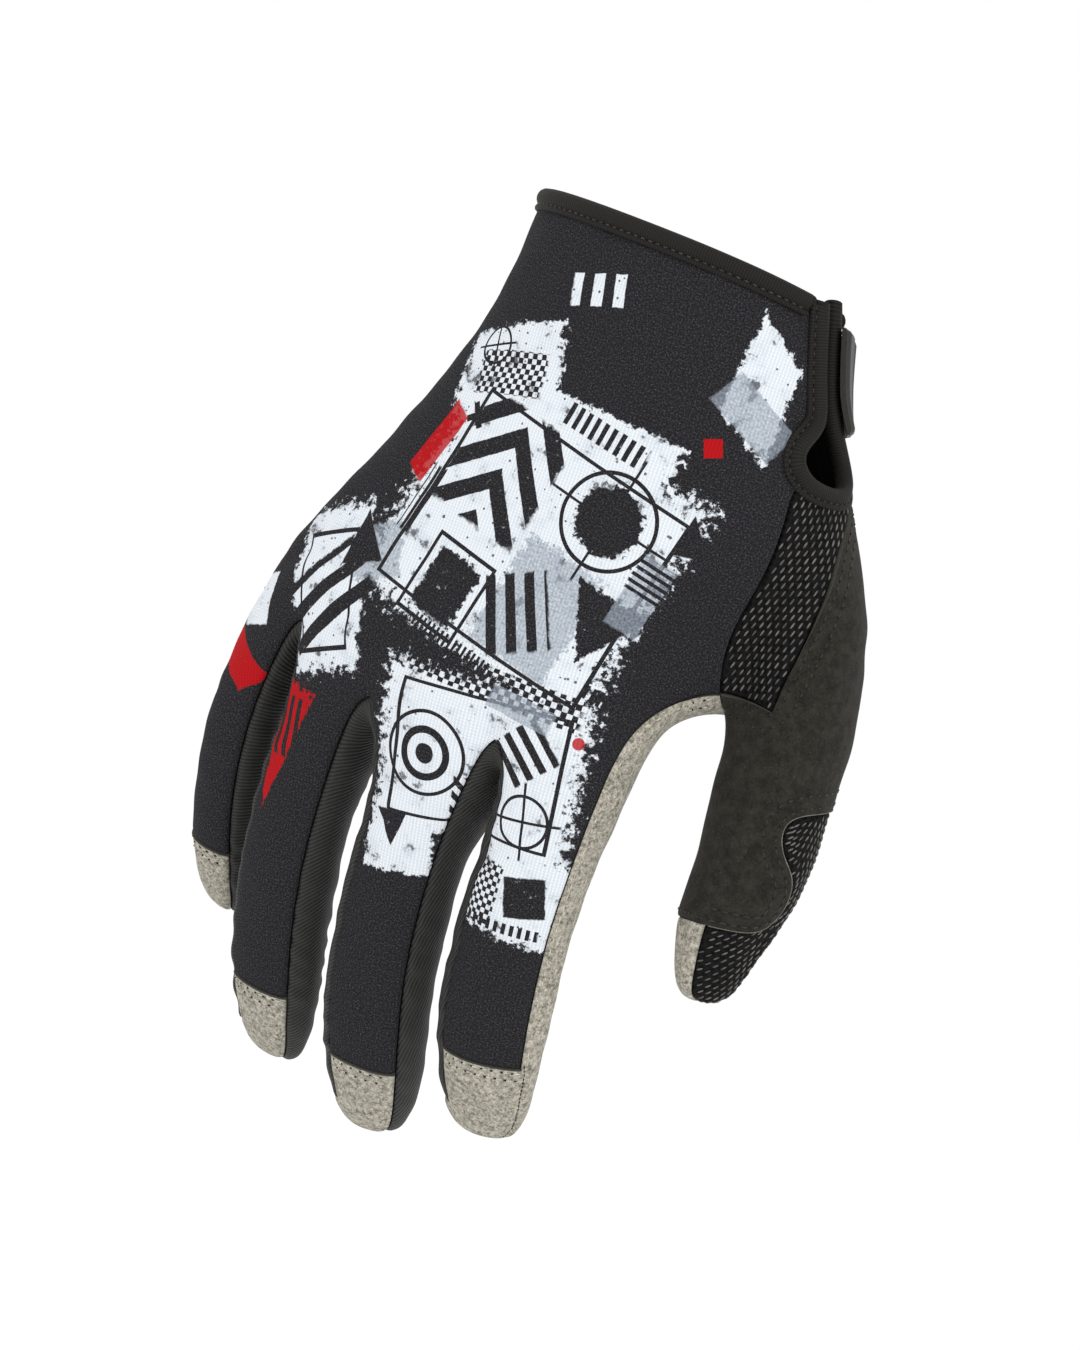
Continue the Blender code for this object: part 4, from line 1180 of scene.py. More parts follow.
def layThread(name, rows, tree, sizes, material):
    # rows: lists of (place, outward, along) in mm; sizes: pitch, length, width, lift
    points, outward, along, edges = [], [], [], []
    for row in rows:
        edges += [(len(points) + k, len(points) + k + 1) for k in range(len(row) - 1)]
        points += [tuple(np.asarray(place) * mm) for place, _, _ in row]
        outward += [np.asarray(way) for _, way, _ in row]
        along += [np.asarray(way) for _, _, way in row]
    mesh = bpy.data.meshes.new(name)
    mesh.from_pydata(points, edges, [])
    for label, rowsOf in (("outward", outward), ("along", along)):
        layer = mesh.attributes.new(label, "FLOAT_VECTOR", "POINT")
        layer.data.foreach_set("vector", np.array(rowsOf, np.float32).ravel())
    made = placed(name, mesh)
    laid = made.modifiers.new("Thread", "NODES")
    laid.node_group = tree
    values = dict(zip(("Pitch", "Length", "Width", "Lift"), [v * mm for v in sizes]))
    values["Thread"] = material
    for item in tree.interface.items_tree:
        if item.in_out == "INPUT" and item.name in values:
            laid[item.identifier] = values[item.name]
    graph = bpy.context.evaluated_depsgraph_get()
    finished = bpy.data.meshes.new_from_object(made.evaluated_get(graph))
    made.modifiers.remove(laid)
    made.data = finished
    bpy.data.meshes.remove(mesh)
    return made


def borderPaths(panel, other, keep=None):
    edges = [e for e in coarseBorders.get((panel, other), []) if keep is None or keep(*e)]
    follow = dict(edges)
    ends = set(follow.values())
    starts = [a for a in follow if a not in ends] or list(follow)[:1]
    paths = [chain(follow, start) for start in starts]
    return [path for path in paths if len(path) > 3]


def seamRow(panel, path, offset, trim=0.0):
    # a row of stitches on the panel, this far in from its edge
    places = np.array([coarse.points[v] + panelWays(panel)[v] * offset for v in path])
    for _ in range(3):
        places[1:-1] = (places[:-2] + 2 * places[1:-1] + places[2:]) / 4
    if trim:
        runs = runLengths(places)
        places = places[(runs >= trim) & (runs <= runs[-1] - trim)]
    tree = outsideTree(panel)
    row = []
    for place in places:
        hit = tree.find_nearest(Vector(place))
        row.append((np.array(hit[0]), np.array(hit[1]), (0, 0, 1)))
    return row


def holeRow(row, pitch):
    # the same row, begun half a stitch later
    runs = runLengths([place for place, _, _ in row])
    first = np.searchsorted(runs, pitch / 2)
    share = (pitch / 2 - runs[first - 1]) / (runs[first] - runs[first - 1])
    start = mix(row[first - 1][0], row[first][0], share)
    return [(start, row[first][1], row[first][2])] + row[first:]


waysOf, treeOf = {}, {}


def panelWays(panel):
    if panel not in waysOf:
        waysOf[panel] = inwardWays(coarse, openEdges(coarse.own(panel)))
    return waysOf[panel]


def outsideTree(panel):
    if panel not in treeOf:
        used, outer = outsides[panel]
        quads = np.searchsorted(used, fine.own(panel))
        treeOf[panel] = faceTree(outer, quads)
    return treeOf[panel]


meshSizes = {
    # columns run along the grid's turn, and every second row is set half a column over;
    # rise: how steeply the bars climb to the thumb's side, in degrees
    "gusset": {"across": 2.45, "down": 1.2, "grid": -24.0, "rise": 70.0, "length": 1.75, "width": 0.46},
    "thumb": {"across": 2.8, "down": 1.0, "grid": 8.0, "rise": 28.0, "length": 1.55, "width": 0.42},
    "margin": 0.7,  # kept clear along the seams, in mm
}


def meshYarn(panel, sizes):
    # a staggered grid on the flat cloth, read back onto the glove
    used, outer = outsides[panel]
    quads = np.searchsorted(used, fine.own(panel))
    triangles = np.concatenate([quads[:, [0, 1, 2]], quads[:, [0, 2, 3]]])
    flat = np.zeros((len(used), 3))
    flat[:, :2] = flatFits[panel](fine.places(panel))[used]
    tree = faceTree(flat, triangles)
    edgeTree = pointTree(flat[[a for a, _ in openEdges(quads)]])
    middle = (flat.min(0) + flat.max(0)) / 2
    reach = np.linalg.norm(flat.max(0) - flat.min(0)) / 2
    rise, grid = math.radians(sizes["rise"]), math.radians(sizes["grid"])
    along = np.array([math.cos(rise), 0, math.sin(rise)])
    row = []
    for j, v in enumerate(np.arange(-reach, reach, sizes["down"])):
        for u in np.arange(-reach + (j % 2) * sizes["across"] / 2, reach, sizes["across"]):
            x = u * math.cos(grid) - v * math.sin(grid)
            y = u * math.sin(grid) + v * math.cos(grid)
            place = Vector(middle) + Vector((x, y, 0))
            hit = tree.find_nearest(place)
            if hit[3] > 1e-3 or edgeTree.find(place)[2] < meshSizes["margin"]:
                continue
            corners = triangles[hit[2]]
            flatCorners = [Vector(flat[c]) for c in corners]
            realCorners = [Vector(outer[c]) for c in corners]
            here = barycentric_transform(place, *flatCorners, *realCorners)
            out = np.cross(realCorners[1] - realCorners[0], realCorners[2] - realCorners[0])
            row.append((np.array(here), out / np.linalg.norm(out), along))
    return [[item] for item in row]


# Materials


def makeTwill():
    # ribbed polyamide twill: near black, with a fine raised diagonal that catches a soft sheen
    material, tree, shader, place = newMaterial("ribbedTwill", "cloth")
    parts = addNode(tree, "ShaderNodeSeparateXYZ", [place])
    lean = addNode(tree, "ShaderNodeMath", [parts.outputs["X"], 0.8, parts.outputs["Y"]],
        operation="MULTIPLY_ADD")
    ribs = addNode(tree, "ShaderNodeMath", [lean, 2 * math.pi / 1.05], operation="MULTIPLY")
    wave = addNode(tree, "ShaderNodeMath", [ribs], operation="SINE")
    share = addNode(tree, "ShaderNodeMapRange", [wave, -1.0, 1.0, 0.0, 1.0])
    body = addNode(tree, "ShaderNodeTexCoord").outputs["Object"]
    grain = addNode(tree, "ShaderNodeTexNoise", {"Vector": body, "Scale": 900.0, "Detail": 3.0})
    # the diagonal's crests are painted lighter and its grooves darker: painted highlight and painted
    # shade on the ribs
    colour = addNode(tree, "ShaderNodeMix",
        {0: share, 6: hexColour("#0a0a0a"), 7: hexColour("#2f2e2c")}, data_type="RGBA")
    height = addNode(tree, "ShaderNodeMath", [grain, 0.4, share], operation="MULTIPLY_ADD")
    bump = addNode(tree, "ShaderNodeBump", {"Strength": 0.5, "Distance": 0.00025, "Height": height})
    setInputs(tree, shader, {
        "Base Color": colour.outputs[2], "Normal": bump, "Roughness": 0.6,
        "Specular IOR Level": 0.3, "Sheen Weight": 0.03,
    })
    return material


def makeSuede(name, dark, light, speck, mottle, flecks, sheen):
    # brushed microfibre suede: a dull nap with soft mottling and short fibres that catch the light
    material, tree, shader, place = newMaterial(name)
    patches = addNode(tree, "ShaderNodeTexNoise",
        {"Vector": place, "Scale": 1000 / mottle, "Detail": 5.0, "Roughness": 0.7})
    nap = addNode(tree, "ShaderNodeTexNoise",
        {"Vector": place, "Scale": 2300.0, "Detail": 2.0, "Roughness": 0.6})
    both = addNode(tree, "ShaderNodeMath", [nap, 0.55, patches], operation="MULTIPLY_ADD")
    share = addNode(tree, "ShaderNodeMapRange", [both, 0.6, 0.95, 0.0, 1.0])
    colour = addNode(tree, "ShaderNodeMix", {0: share, 6: hexColour(dark), 7: hexColour(light)},
        data_type="RGBA")
    fibre = addNode(tree, "ShaderNodeTexVoronoi", {"Vector": place, "Scale": 700.0})
    fleck = addNode(tree, "ShaderNodeMapRange", [fibre, 0.16, 0.06, 0.0, flecks])
    flecked = addNode(tree, "ShaderNodeMix", {0: fleck, 6: colour.outputs[2], 7: hexColour(speck)},
        data_type="RGBA")
    bump = addNode(tree, "ShaderNodeBump", {"Strength": 0.45, "Distance": 0.0002, "Height": both})
    setInputs(tree, shader, {
        "Base Color": flecked.outputs[2], "Normal": bump, "Roughness": 0.95,
        "Specular IOR Level": 0.1, "Sheen Weight": sheen, "Sheen Roughness": 0.6,
    })
    return material


def makeMeshCloth():
    # polyester spacer mesh: a dark ground with rows of small round openings between the yarn
    material, tree, shader, place = newMaterial("spacerMesh", "cloth")
    holes = addNode(tree, "ShaderNodeTexVoronoi",
        {"Vector": place, "Scale": 0.62, "Randomness": 0.25})
    share = addNode(tree, "ShaderNodeMapRange", [holes, 0.15, 0.5, 0.0, 1.0])
    # the openings are painted darker than the ground, as painted shade in their depth
    colour = addNode(tree, "ShaderNodeMix",
        {0: share, 6: hexColour("#060606"), 7: hexColour("#141313")}, data_type="RGBA")
    bump = addNode(tree, "ShaderNodeBump", {"Strength": 0.8, "Distance": 0.0004, "Height": share})
    setInputs(tree, shader, {
        "Base Color": colour.outputs[2], "Normal": bump, "Roughness": 0.8,
        "Specular IOR Level": 0.1,
    })
    return material


def makeThread(name, colour, roughness, lighter=1.6):
    # twisted polyester thread: a fine diagonal twist with a dull shine, its twist bands and random
    # patches painted lighter as painted highlight
    material, tree, shader, place = newMaterial(name)
    twist = addNode(tree, "ShaderNodeTexWave",
        {"Vector": place, "Scale": 900.0, "Distortion": 1.0}, bands_direction="DIAGONAL")
    low = hexColour(colour)
    high = tuple(min(1.0, c * lighter + 0.004) for c in low[:3]) + (1.0,)
    # lighter patches along the thread: painted highlight, like glints on its fibres
    paintedGlint = addNode(tree, "ShaderNodeTexNoise",
        {"Vector": place, "Scale": 420.0, "Detail": 1.0})
    share = addNode(tree, "ShaderNodeMapRange", [paintedGlint, 0.4, 0.62, 0.0, 0.8])
    both = addNode(tree, "ShaderNodeMath", [twist.outputs["Fac"], 0.35, share],
        operation="MULTIPLY_ADD")
    paint = addNode(tree, "ShaderNodeMix", {0: both, 6: low, 7: high}, data_type="RGBA")
    setInputs(tree, shader, {
        "Base Color": paint.outputs[2], "Roughness": roughness, "Specular IOR Level": 0.3,
    })
    return material


def makeBindingCloth():
    # ribbed stretch binding tape: fine cross ribs about 0.5 mm apart, drawn a little coarser to show
    material, tree, shader, place = newMaterial("ribbedTape", "cloth")
    parts = addNode(tree, "ShaderNodeSeparateXYZ", [place])
    ribs = addNode(tree, "ShaderNodeMath", [parts.outputs["Y"], 2 * math.pi / 0.62],
        operation="MULTIPLY")
    wave = addNode(tree, "ShaderNodeMath", [ribs], operation="SINE")
    share = addNode(tree, "ShaderNodeMapRange", [wave, -1.0, 1.0, 0.0, 1.0])
    # the ribs' crests are painted lighter and their hollows darker: painted highlight and painted shade
    colour = addNode(tree, "ShaderNodeMix",
        {0: share, 6: hexColour("#0e0d0c"), 7: hexColour("#1f1d1a")}, data_type="RGBA")
    bump = addNode(tree, "ShaderNodeBump", {"Strength": 0.5, "Distance": 0.0002, "Height": share})
    setInputs(tree, shader, {
        "Base Color": colour.outputs[2], "Normal": bump, "Roughness": 0.65,
        "Specular IOR Level": 0.18,
    })
    return material


def makeStrapRubber():
    # moulded thermoplastic rubber: dark grey, satin, with a faint moulded grain
    material, tree, shader, place = newMaterial("mouldedRubber")
    grain = addNode(tree, "ShaderNodeTexNoise",
        {"Vector": place, "Scale": 1600.0, "Detail": 3.0})
    tone = addNode(tree, "ShaderNodeMapRange", [grain, 0.35, 0.7, 0.0, 1.0])
    colour = addNode(tree, "ShaderNodeMix",
        {0: tone, 6: hexColour("#1d1c1a"), 7: hexColour("#262523")}, data_type="RGBA")
    bump = addNode(tree, "ShaderNodeBump", {"Strength": 0.2, "Distance": 0.0001, "Height": grain})
    setInputs(tree, shader, {
        "Base Color": colour.outputs[2], "Normal": bump, "Roughness": 0.5,
        "Specular IOR Level": 0.3,
    })
    return material


def makeLining():
    # brushed tricot lining: soft, dark and without shine
    material, tree, shader, place = newMaterial("brushedTricot")
    fuzz = addNode(tree, "ShaderNodeTexNoise",
        {"Vector": place, "Scale": 1300.0, "Detail": 4.0})
    colour = addNode(tree, "ShaderNodeMix",
        {0: fuzz, 6: hexColour("#0c0c0c"), 7: hexColour("#1c1b1a")}, data_type="RGBA")
    setInputs(tree, shader, {
        "Base Color": colour.outputs[2], "Roughness": 0.95, "Specular IOR Level": 0.1,
    })
    return material


def makeCutEdge(name, colour):
    # the raw edge of microfibre: paler fibres than its face
    material, tree, shader, place = newMaterial(name)
    fuzz = addNode(tree, "ShaderNodeTexNoise",
        {"Vector": place, "Scale": 2600.0, "Detail": 2.0})
    dark = tuple(c * 0.55 for c in hexColour(colour)[:3]) + (1.0,)
    paint = addNode(tree, "ShaderNodeMix", {0: fuzz, 6: dark, 7: hexColour(colour)}, data_type="RGBA")
    setInputs(tree, shader, {
        "Base Color": paint.outputs[2], "Roughness": 0.95, "Specular IOR Level": 0.1,
    })
    return material


# The print on the back of the hand

printInk = {
    "ground": "#1b1a1c",
    "fleck": "#57555b",
    "white": "#dde3e9",
    "grey": "#8c95a1",
    "red": "#b30c14",
    "wear": 0.5,  # how much of the white ink is rubbed off, from 0 to 1
    "ribPitch": 0.8,  # mm, a little coarser than the real 0.5 mm, so that it shows
    "rowPitch": 0.7,
}

# cloth noise: scale for each mm, detail and roughness, for the yarn, torn edges, blots and heather
noiseInputs = ("Scale", "Detail", "Roughness")
printNoises = [(1.6, 2.0, 0.6), (0.55, 6.0, 0.7), (0.16, 4.0, 0.55), (2.6, 3.0, 0.8)]

# kind, u, v, wide, tall, turn, detail, colour: mm on the flat cloth, from the cuff's top middle
# detail is the pitch of bars, chevrons and dots, and the line's width of rings, frames and crosses
printMotifs = [
    ("block", -2, -71, 62, 54, -14, 0, "white"),
    ("block", -21, -37, 27, 19, 16, 0, "white"),
    ("block", 6, -46, 38, 13, -5, 0, "white"),
    ("block", -46, -95, 20, 36, 20, 0, "white"),
    ("block", 3, -120, 47, 36, 4, 0, "white"),
    ("block", 18, -144, 25, 20, -4, 0, "white"),
    ("block", -12, -143, 16, 13, 6, 0, "white"),
    ("slash", 37, -24, 15, 19, -35, 0, "white"),
    ("block", -68, -103, 10, 12, 10, 0, "white"),
    ("block", 6, -84, 20, 26, -14, 0, "grey"),
    ("block", 37, -30, 18, 9, -30, 0, "grey"),
    ("block", -36, -84, 13, 12, 20, 0, "grey"),
    ("frame", -1, -72, 57, 47, -14, 0.8, "ground"),
    ("frame", 3, -120, 40, 30, 4, 0.7, "ground"),
    ("chevron", -13, -58, 25, 27, -14, 10.5, "ground"),
    ("disc", 15, -61, 15, 15, 0, 0, "ground"),
    ("ring", 15, -61, 22, 22, 0, 0.9, "ground"),
    ("cross", 15, -61, 30, 30, -14, 0.6, "ground"),
    ("triangle", 20, -84, 18, 16, 166, 0, "ground"),
    ("bars", 2, -86, 15, 17, 22, 4.6, "ground"),
    ("block", -16, -86, 12, 14, -14, 0, "ground"),
    ("frame", -16, -86, 17, 19, -14, 0.8, "ground"),
    ("dots", -20, -38, 18, 10, 10, 2.4, "ground"),
    ("bars", 8, -44, 21, 5, -12, 2.3, "ground"),
    ("cross", -24, -49, 6, 6, 31, 1.5, "ground"),
    ("cross", 27, -47, 6, 6, 31, 1.5, "ground"),
    ("bars", -46, -98, 16, 26, -38, 6.2, "ground"),
    ("triangle", -41, -82, 11, 12, 20, 0, "ground"),
    ("dots", 3, -102, 40, 7, -2, 2.6, "ground"),
    ("ring", -9, -121, 19, 19, 0, 0.8, "ground"),
    ("ring", -9, -121, 12, 12, 0, 1.6, "ground"),
    ("disc", -9, -121, 4.4, 4.4, 0, 0, "ground"),
    ("bars", 13, -114, 13, 11, 45, 3.4, "ground"),
    ("ring", 17, -128, 12, 12, 0, 0.7, "ground"),
    ("cross", 17, -128, 17, 17, 10, 0.6, "ground"),
    ("chevron", 3, -130, 9, 12, 180, 3.6, "ground"),
    ("block", 22, -144, 9, 9, 14, 0, "ground"),
    ("dots", 11, -146, 10, 14, 0, 2.2, "ground"),
    ("bars", 18, -152, 18, 2.4, 2, 1.8, "ground"),
    ("triangle", -14, -140, 8, 8, 190, 0, "ground"),
    ("bars", 26, -98, 10, 3, -14, 1.7, "ground"),
    ("bars", -30, -70, 4, 16, -14, 1.7, "ground"),
    ("bars", -10, -97, 22, 3.0, -14, 1.3, "ground"),
    ("block", 27, -74, 8, 17, -14, 0, "grey"),
    ("bars", 28, -70, 8, 9, 76, 1.6, "ground"),
    ("frame", -46, -96, 15, 27, 20, 0.6, "ground"),
    ("ring", -27, -33, 9, 9, 0, 0.6, "ground"),
    ("cross", -27, -33, 12, 12, 16, 0.5, "ground"),
    ("block", 10, -105, 15, 5, -8, 0, "grey"),
    ("triangle", 33, -58, 8, 9, 10, 0, "ground"),
    ("bars", -4, -15, 15.1, 7, 13, 5.4, "white"),
    ("slash", -32, -57, 6, 17, -34, 0, "red"),
    ("triangle", -51, -133, 15, 30, 172, 0, "red"),
    ("bars", -51, -128, 15, 14, 0, 3.0, "ground"),
    ("slash", -70, -117, 9, 14, 24, 0, "red"),
    ("block", 31, -39, 4, 4, 20, 0, "red"),
    ("disc", 24, -108, 2.6, 2.6, 0, 0, "red"),
]


def makePrintedKnit():
    # dye-printed stretch knit: inks broken up by dark yarn, on a near black fine rib
    material, tree, shader, flat = newMaterial("printedKnit", "cloth")

    def add(kind, *links, **settings):
        return addNode(tree, f"ShaderNode{kind}", links, **settings)

    parts = add("SeparateXYZ", flat)
    ribs = add("Math", parts.outputs["X"], 2 * math.pi / printInk["ribPitch"], operation="MULTIPLY")
    ribs = add("Math", add("Math", ribs, operation="SINE"), 1.0, operation="ADD")
    rows = add("Math", parts.outputs["Y"], 2 * math.pi / printInk["rowPitch"], operation="MULTIPLY")
    rows = add("Math", add("Math", rows, operation="SINE"), 0.35, 0.65, operation="MULTIPLY_ADD")
    loops = add("Math", ribs, rows, operation="MULTIPLY")
    yarn, edge, blots, heather = [
        addNode(tree, "ShaderNodeTexNoise", {"Vector": flat} | dict(zip(noiseInputs, look)))
        for look in printNoises
    ]
    specks = addNode(tree, "ShaderNodeTexVoronoi", {"Vector": flat, "Scale": 0.42})
    ink = {name: hexColour(printInk[name]) for name in ("ground", "fleck", "white", "grey", "red")}
    share = add("MapRange", heather, 0.5, 0.72, 0.0, 1.0)
    pair = {0: share, 6: ink["ground"], 7: ink["fleck"]}
    ground = addNode(tree, "ShaderNodeMix", pair, data_type="RGBA")
    # the white ink is rubbed thin in patches, and spattered with small dark spots
    rubbed = add("Math", edge, 0.6, blots, operation="MULTIPLY_ADD")
    rubbed = add("MapRange", rubbed, 0.92, 0.98, 0.0, 1.0)
    rubbed = add("Math", rubbed, printInk["wear"] * 1.6, operation="MULTIPLY")
    spatter = add("Math", blots, 0.35, specks, operation="MULTIPLY_ADD")
    spatter = add("MapRange", spatter, 0.30, 0.27, 0.0, 1.0)
    spatter = add("Math", spatter, 0.85, operation="MULTIPLY")
    lost = add("Math", add("Math", rubbed, spatter, operation="MAXIMUM"), 1.0, operation="MINIMUM")
    share = add("MapRange", blots, 0.5, 0.75, 0.0, 1.0)
    share = add("Math", share, 0.35, operation="MULTIPLY")
    pair = {0: share, 6: ink["white"], 7: ink["grey"]}
    white = addNode(tree, "ShaderNodeMix", pair, data_type="RGBA")
    ink["white"] = white.outputs[2]
    ink["ground"] = ground.outputs[2]
    # how thickly each ink lies
    thin = add("Math", add("MapRange", edge, 0.62, 0.7, 0.0, 1.0), 0.6, operation="MULTIPLY")
    cover = {
        "white": add("Math", 1.0, lost, operation="SUBTRACT"),
        "grey": add("Math", yarn, 1.3, operation="MULTIPLY"),
        "red": 0.93,
        "ground": add("Math", 1.0, thin, operation="SUBTRACT"),
    }
    ragged = add("Math", edge, 0.5, operation="SUBTRACT")
    paint = ink["ground"]
    for kind, u, v, wide, tall, turn, detail, colour in printMotifs:
        place = addNode(tree, "ShaderNodeMapping", {
            "Vector": flat,
            "Location": (u, v, 0),
            "Rotation": (0, 0, math.radians(turn)),
            "Scale": (wide / 2, tall / 2, 1),
        }, vector_type="TEXTURE")
        x, y, _ = add("SeparateXYZ", place).outputs
        if kind == "slash":
            x = add("Math", y, 0.7, x, operation="MULTIPLY_ADD")
        across = add("Math", x, operation="ABSOLUTE")
        along = add("Math", y, operation="ABSOLUTE")
        value = add("Math", across, along, operation="MAXIMUM")
        if kind in ("ring", "disc"):
            value = add("VectorMath", add("CombineXYZ", x, y), operation="LENGTH").outputs["Value"]
        if kind in ("ring", "frame"):
            band = 2 * detail / min(wide, tall)
            value = add("Math", value, 1 - band / 2, operation="SUBTRACT")
            value = add("Math", value, operation="ABSOLUTE")
            value = add("Math", value, 2 / band, operation="MULTIPLY")
        if kind == "triangle":
            sides = add("Math", across, 2.0, y, operation="MULTIPLY_ADD")
            foot = add("Math", y, -1.0, operation="MULTIPLY")
            value = add("Math", sides, foot, operation="MAXIMUM")
        if kind == "cross":
            upright = add("Math", across, wide / detail, operation="MULTIPLY")
            upright = add("Math", upright, along, operation="MAXIMUM")
            level = add("Math", along, tall / detail, operation="MULTIPLY")
            level = add("Math", level, across, operation="MAXIMUM")
            value = add("Math", upright, level, operation="MINIMUM")
        if kind in ("bars", "chevron", "dots"):
            wave = add("Math", x, math.pi * wide / detail, operation="MULTIPLY")
            if kind != "bars":
                climb = add("Math", y, math.pi * tall / detail, operation="MULTIPLY")
            if kind == "chevron":
                wave = add("Math", across, math.pi * wide / detail, climb, operation="MULTIPLY_ADD")
            wave = add("Math", wave, operation="SINE")
            if kind == "dots":
                wave = add("Math", wave, add("Math", climb, operation="SINE"), operation="MULTIPLY")
            wave = add("Math", wave, 0.5, 1.0, operation="MULTIPLY_ADD")
            value = add("Math", value, wave, operation="MAXIMUM")
        tear = 0.24 if min(wide, tall) < 12 or detail else 0.9
        mask = add("Math", ragged, tear, value, operation="MULTIPLY_ADD")
        mask = add("MapRange", mask, 1.04, 0.98, 0.0, 1.0)
        if colour != "ground" or kind in ("block", "chevron", "triangle", "bars"):
            mask = add("Math", mask, cover[colour], operation="MULTIPLY")
        pair = {0: mask, 6: paint, 7: ink[colour]}
        paint = addNode(tree, "ShaderNodeMix", pair, data_type="RGBA").outputs[2]
    shaded = addNode(tree, "ShaderNodeHueSaturation", {
        "Value": add("MapRange", loops, 0.0, 2.0, 0.82, 1.08),
        "Color": paint,
    })
    height = add("Math", yarn, 0.8, loops, operation="MULTIPLY_ADD")
    bump = addNode(tree, "ShaderNodeBump", {"Strength": 0.35, "Distance": 0.00018, "Height": height})
    setInputs(tree, shader, {
        "Base Color": shaded, "Normal": bump, "Roughness": 0.85, "Specular IOR Level": 0.12,
    })
    return material


# Putting the glove together

printedKnit = makePrintedKnit()
twill = makeTwill()
greySuede = makeSuede("greySuede", "#5f5b51", "#bbb6a8", "#e2dfd5", 1.15, 0.5, 0.04)
blackSuede = makeSuede("blackSuede", "#1b1a16", "#302e28", "#56544b", 2.6, 0.3, 0.04)
meshCloth = makeMeshCloth()
tape = makeBindingCloth()
rubber = makeStrapRubber()
lining = makeLining()
suedeEdge = makeCutEdge("suedeEdge", "#57564f")
blackThread = makeThread("blackThread", "#201f1b", 0.45)
greyThread = makeThread("greyThread", "#a5a195", 0.5)
tapeThread = makeThread("tapeThread", "#35332c", 0.5)
slitThread = makeThread("slitThread", "#262520", 0.6)
cutFibre = makeThread("cutFibre", "#5c5a50", 0.8)
# near black, as painted shade: in the needle holes, and down the seam groove on the index's cap
paintedShadeThread = makeThread("paintedShadeThread", "#0b0b0a", 0.9)
# the mesh yarn's twist bands reach 3.8 times its colour: a strong painted highlight
meshThread = makeThread("meshYarn", "#363432", 0.5, 3.8)
padFleece = makeLining()
padFleece.name = "brushedLoop"
print("materials made")

cloths = {
    back: (printedKnit, "printed_knit"),
    palm: (greySuede, "grey_suede"),
    pinkyRing: (twill, "finger_twill"),
    ringMiddle: (twill, "finger_twill"),
    middleIndex: (twill, "finger_twill"),
    gusset: (meshCloth, "air_mesh"),
    thumbSuede: (blackSuede, "black_suede"),
    thumbMesh: (meshCloth, "air_mesh"),
}
for panel, (cloth, slot) in cloths.items():
    edgeCloth = suedeEdge if panel in (thumbSuede, palm) else lining
    finishPiece(buildPanel(panel, cloth, lining, edgeCloth), slot, panelNames[panel])
print("panels built")

slitPath, cuffPath, wristWays = wristEdges(fine, cage)
lip = bindingSizes["rise"]
corner = bindingSizes["corner"]
cuts = [bindingSizes["backEnd"], bindingSizes["palmEnd"]]
if fine.points[slitPath[0]][1] > fine.points[slitPath[-1]][1]:
    cuts.reverse()
slitBinding, slitGroove = sweepBinding(
    "binding_slit", fine, fineTree, slitPath, wristWays, (-lip, -lip), bindingOutline, tape, cuts)
finishPiece(slitBinding, "ribbed_binding", "slit_binding")
cuffBinding, cuffGroove = sweepBinding(
    "binding_cuff", fine, fineTree, cuffPath, wristWays, (corner, corner), bindingOutline, tape)
finishPiece(cuffBinding, "ribbed_binding", "cuff_binding")
strap, strapPad = buildStrap(fineTree, cage, strapSizes, rubber, padFleece)
finishPiece(strap, "strap_rubber", "closure_strap")
finishPiece(strapPad, "hook_patch", "closure_patch")
print("bindings and strap built")

stitchTree = grainTree("stitchRow", True)
yarnTree = grainTree("meshYarn", False)

# name, panel, neighbour, part of the seam, distances from the seam in mm, stitch, thread
stitchRows = [
    ("suede_gusset", thumbSuede, gusset, "all", (1.5, 4.3), "suede", blackThread),
    ("suede_mesh", thumbSuede, thumbMesh, "all", (1.5, 4.3), "suede", blackThread),
    ("suede_palm", thumbSuede, palm, "all", (1.5,), "suede", blackThread),
    ("caps", palm, back, "caps", (1.0, 3.0), "cap", greyThread),
    ("palm_side", palm, back, "sides", (1.2,), "edge", greyThread),
    ("back_gusset", back, gusset, "all", (1.2,), "edge", blackThread),
    ("cut_edge", thumbSuede, thumbMesh, "all", (0.12,), "rim", cutFibre),
]
for name, panel, other, part, offsets, kind, thread in stitchRows:
    keep = {
        "all": None,
        "caps": lambda a, b: isCapEdge(coarse, a, b),
        "sides": lambda a, b: not isCapEdge(coarse, a, b),
    }[part]
    paths = borderPaths(panel, other, keep)
    rows = [seamRow(panel, path, offset, 1.0) for path in paths for offset in offsets]
    rows = [row for row in rows if len(row) > 2]
    pitch, length, width = stitchSizes[kind]
    sizes = (pitch, length, width, stitchLift["panel"])
    laid = layThread(f"stitches_{name}", rows, stitchTree, sizes, thread)
    finishPiece(laid, cloths[panel][1])
    if kind in ("edge", "rim"):
        continue
    # near black marks half a stitch over, as painted shade in the needle holes
    rows = [holeRow(row, pitch) for row in rows]
    holes = layThread(f"needle_hole_shade_{name}", rows, stitchTree, (pitch, *holeShadeSizes), paintedShadeThread)
    finishPiece(holes, cloths[panel][1])
# small stitches down the seam on the index's side of its cap, painted near black as the seam groove's
# shade
tree = outsideTree(palm)
hits = [tree.find_nearest(Vector(place)) for place in capSeamLine]
seam = [(np.array(hit[0]), np.array(hit[1]), (0, 0, 1)) for hit in hits]
sizes = (*stitchSizes["capSeam"], stitchLift["capSeam"])
laid = layThread("stitches_and_shade_index_cap", [seam], stitchTree, sizes, paintedShadeThread)
finishPiece(laid, "grey_suede")
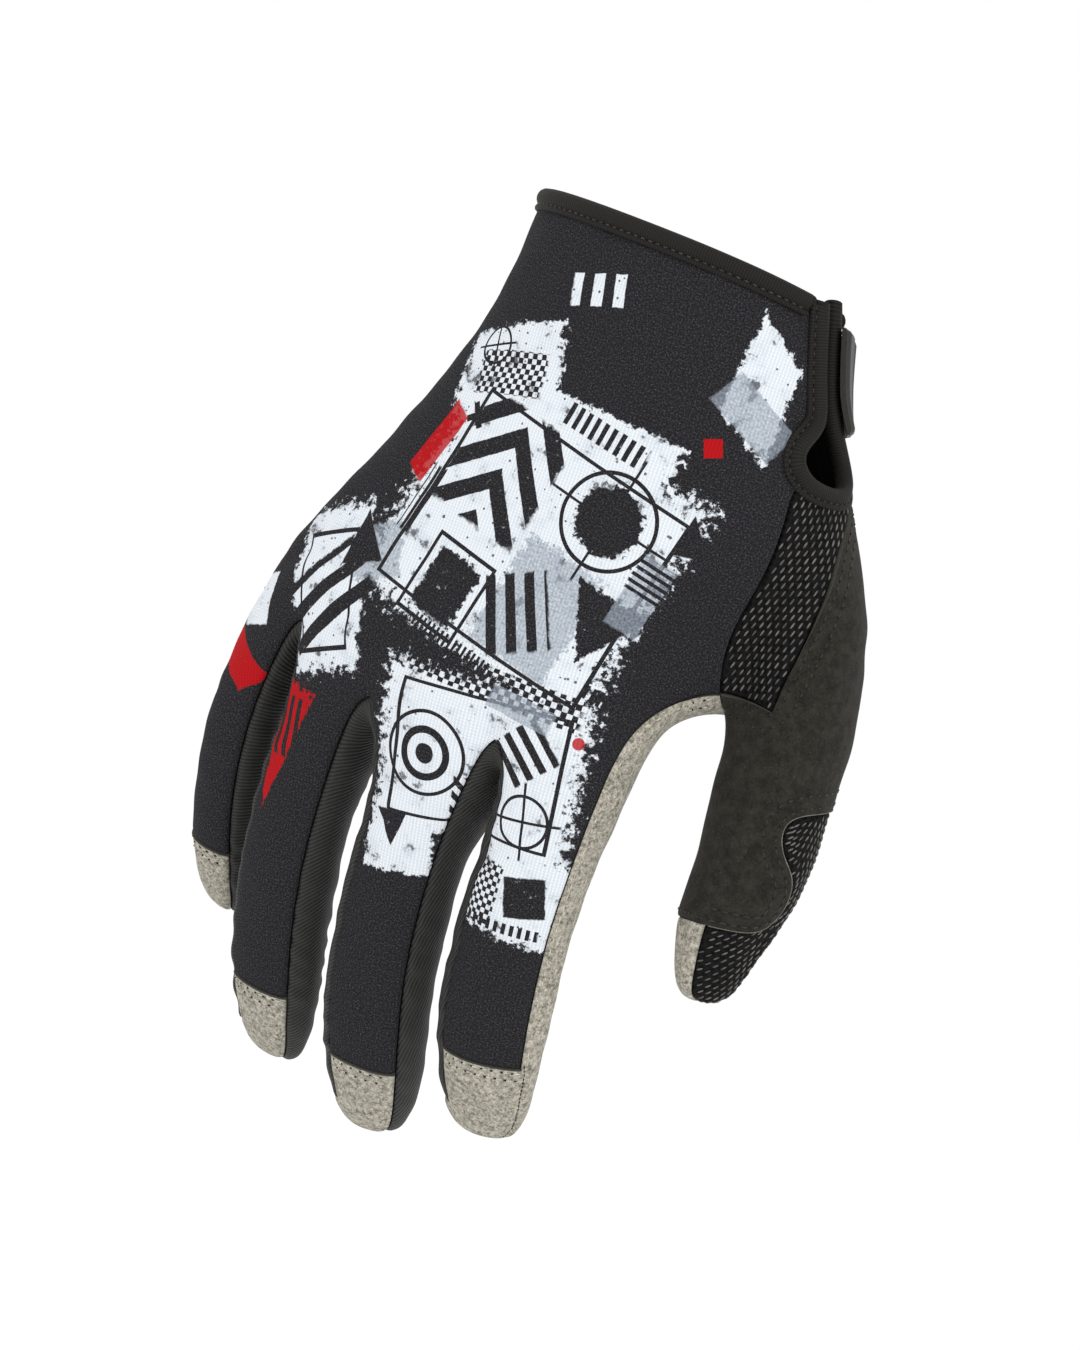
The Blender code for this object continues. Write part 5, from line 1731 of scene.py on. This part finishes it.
for name, groove, thread in (("slit", slitGroove, slitThread), ("cuff", cuffGroove, tapeThread)):
    sizes = (*stitchSizes["binding"], stitchLift["binding"])
    laid = layThread(f"stitches_{name}", [groove[2:-2]], stitchTree, sizes, thread)
    finishPiece(laid, "ribbed_binding")
for name, panel in (("gusset", gusset), ("thumb", thumbMesh)):
    weave = meshSizes[name]
    sizes = (1.0, weave["length"], weave["width"], stitchLift["yarn"])
    laid = layThread(f"yarn_{name}", meshYarn(panel, weave), yarnTree, sizes, meshThread)
    finishPiece(laid, "air_mesh")
print("stitches and yarn laid")


# Light and floor

lightSizes = {
    "world": 1.0,
    "key": (5.0, 0.5, (0.95, -0.75, 0.5)),  # watts, size in m, place
    "fill": (2.0, 0.8, (-0.9, -0.6, 0.4)),
    "target": (0, 0, -0.1),
    "floor": -0.32,
    "floorReach": 6.0,
}


def aim(made, place, target):
    way = Vector(place) - Vector(target)
    made.location = place
    made.rotation_euler = way.to_track_quat("Z", "Y").to_euler()


def makeStudio(sizes):
    world = bpy.data.worlds.new("studio")
    world.use_nodes = True
    glow = world.node_tree.nodes["Background"]
    glow.inputs["Color"].default_value = (1.0, 1.0, 1.0, 1.0)
    glow.inputs["Strength"].default_value = sizes["world"]
    bpy.context.scene.world = world
    for name in ("key", "fill"):
        watts, wide, place = sizes[name]
        light = bpy.data.lights.new(name, "AREA")
        light.energy = watts
        light.size = wide
        aim(placed(name, light), place, sizes["target"])
    material, tree, shader, _ = newMaterial("paleFloor")
    white = (1.0, 1.0, 1.0, 1.0)
    setInputs(tree, shader, {"Base Color": white, "Roughness": 1.0, "Specular IOR Level": 0.0})
    corners = [(-1, -1), (1, -1), (1, 1), (-1, 1)]
    mesh = bpy.data.meshes.new("studioFloor")
    points = [(x * sizes["floorReach"], y * sizes["floorReach"], sizes["floor"]) for x, y in corners]
    mesh.from_pydata(points, [], [(0, 1, 2, 3)])
    mesh.materials.append(material)
    floor = placed("studioFloor", mesh)


makeStudio(lightSizes)
bpy.context.scene.view_settings.view_transform = "Standard"
print("light and floor placed")
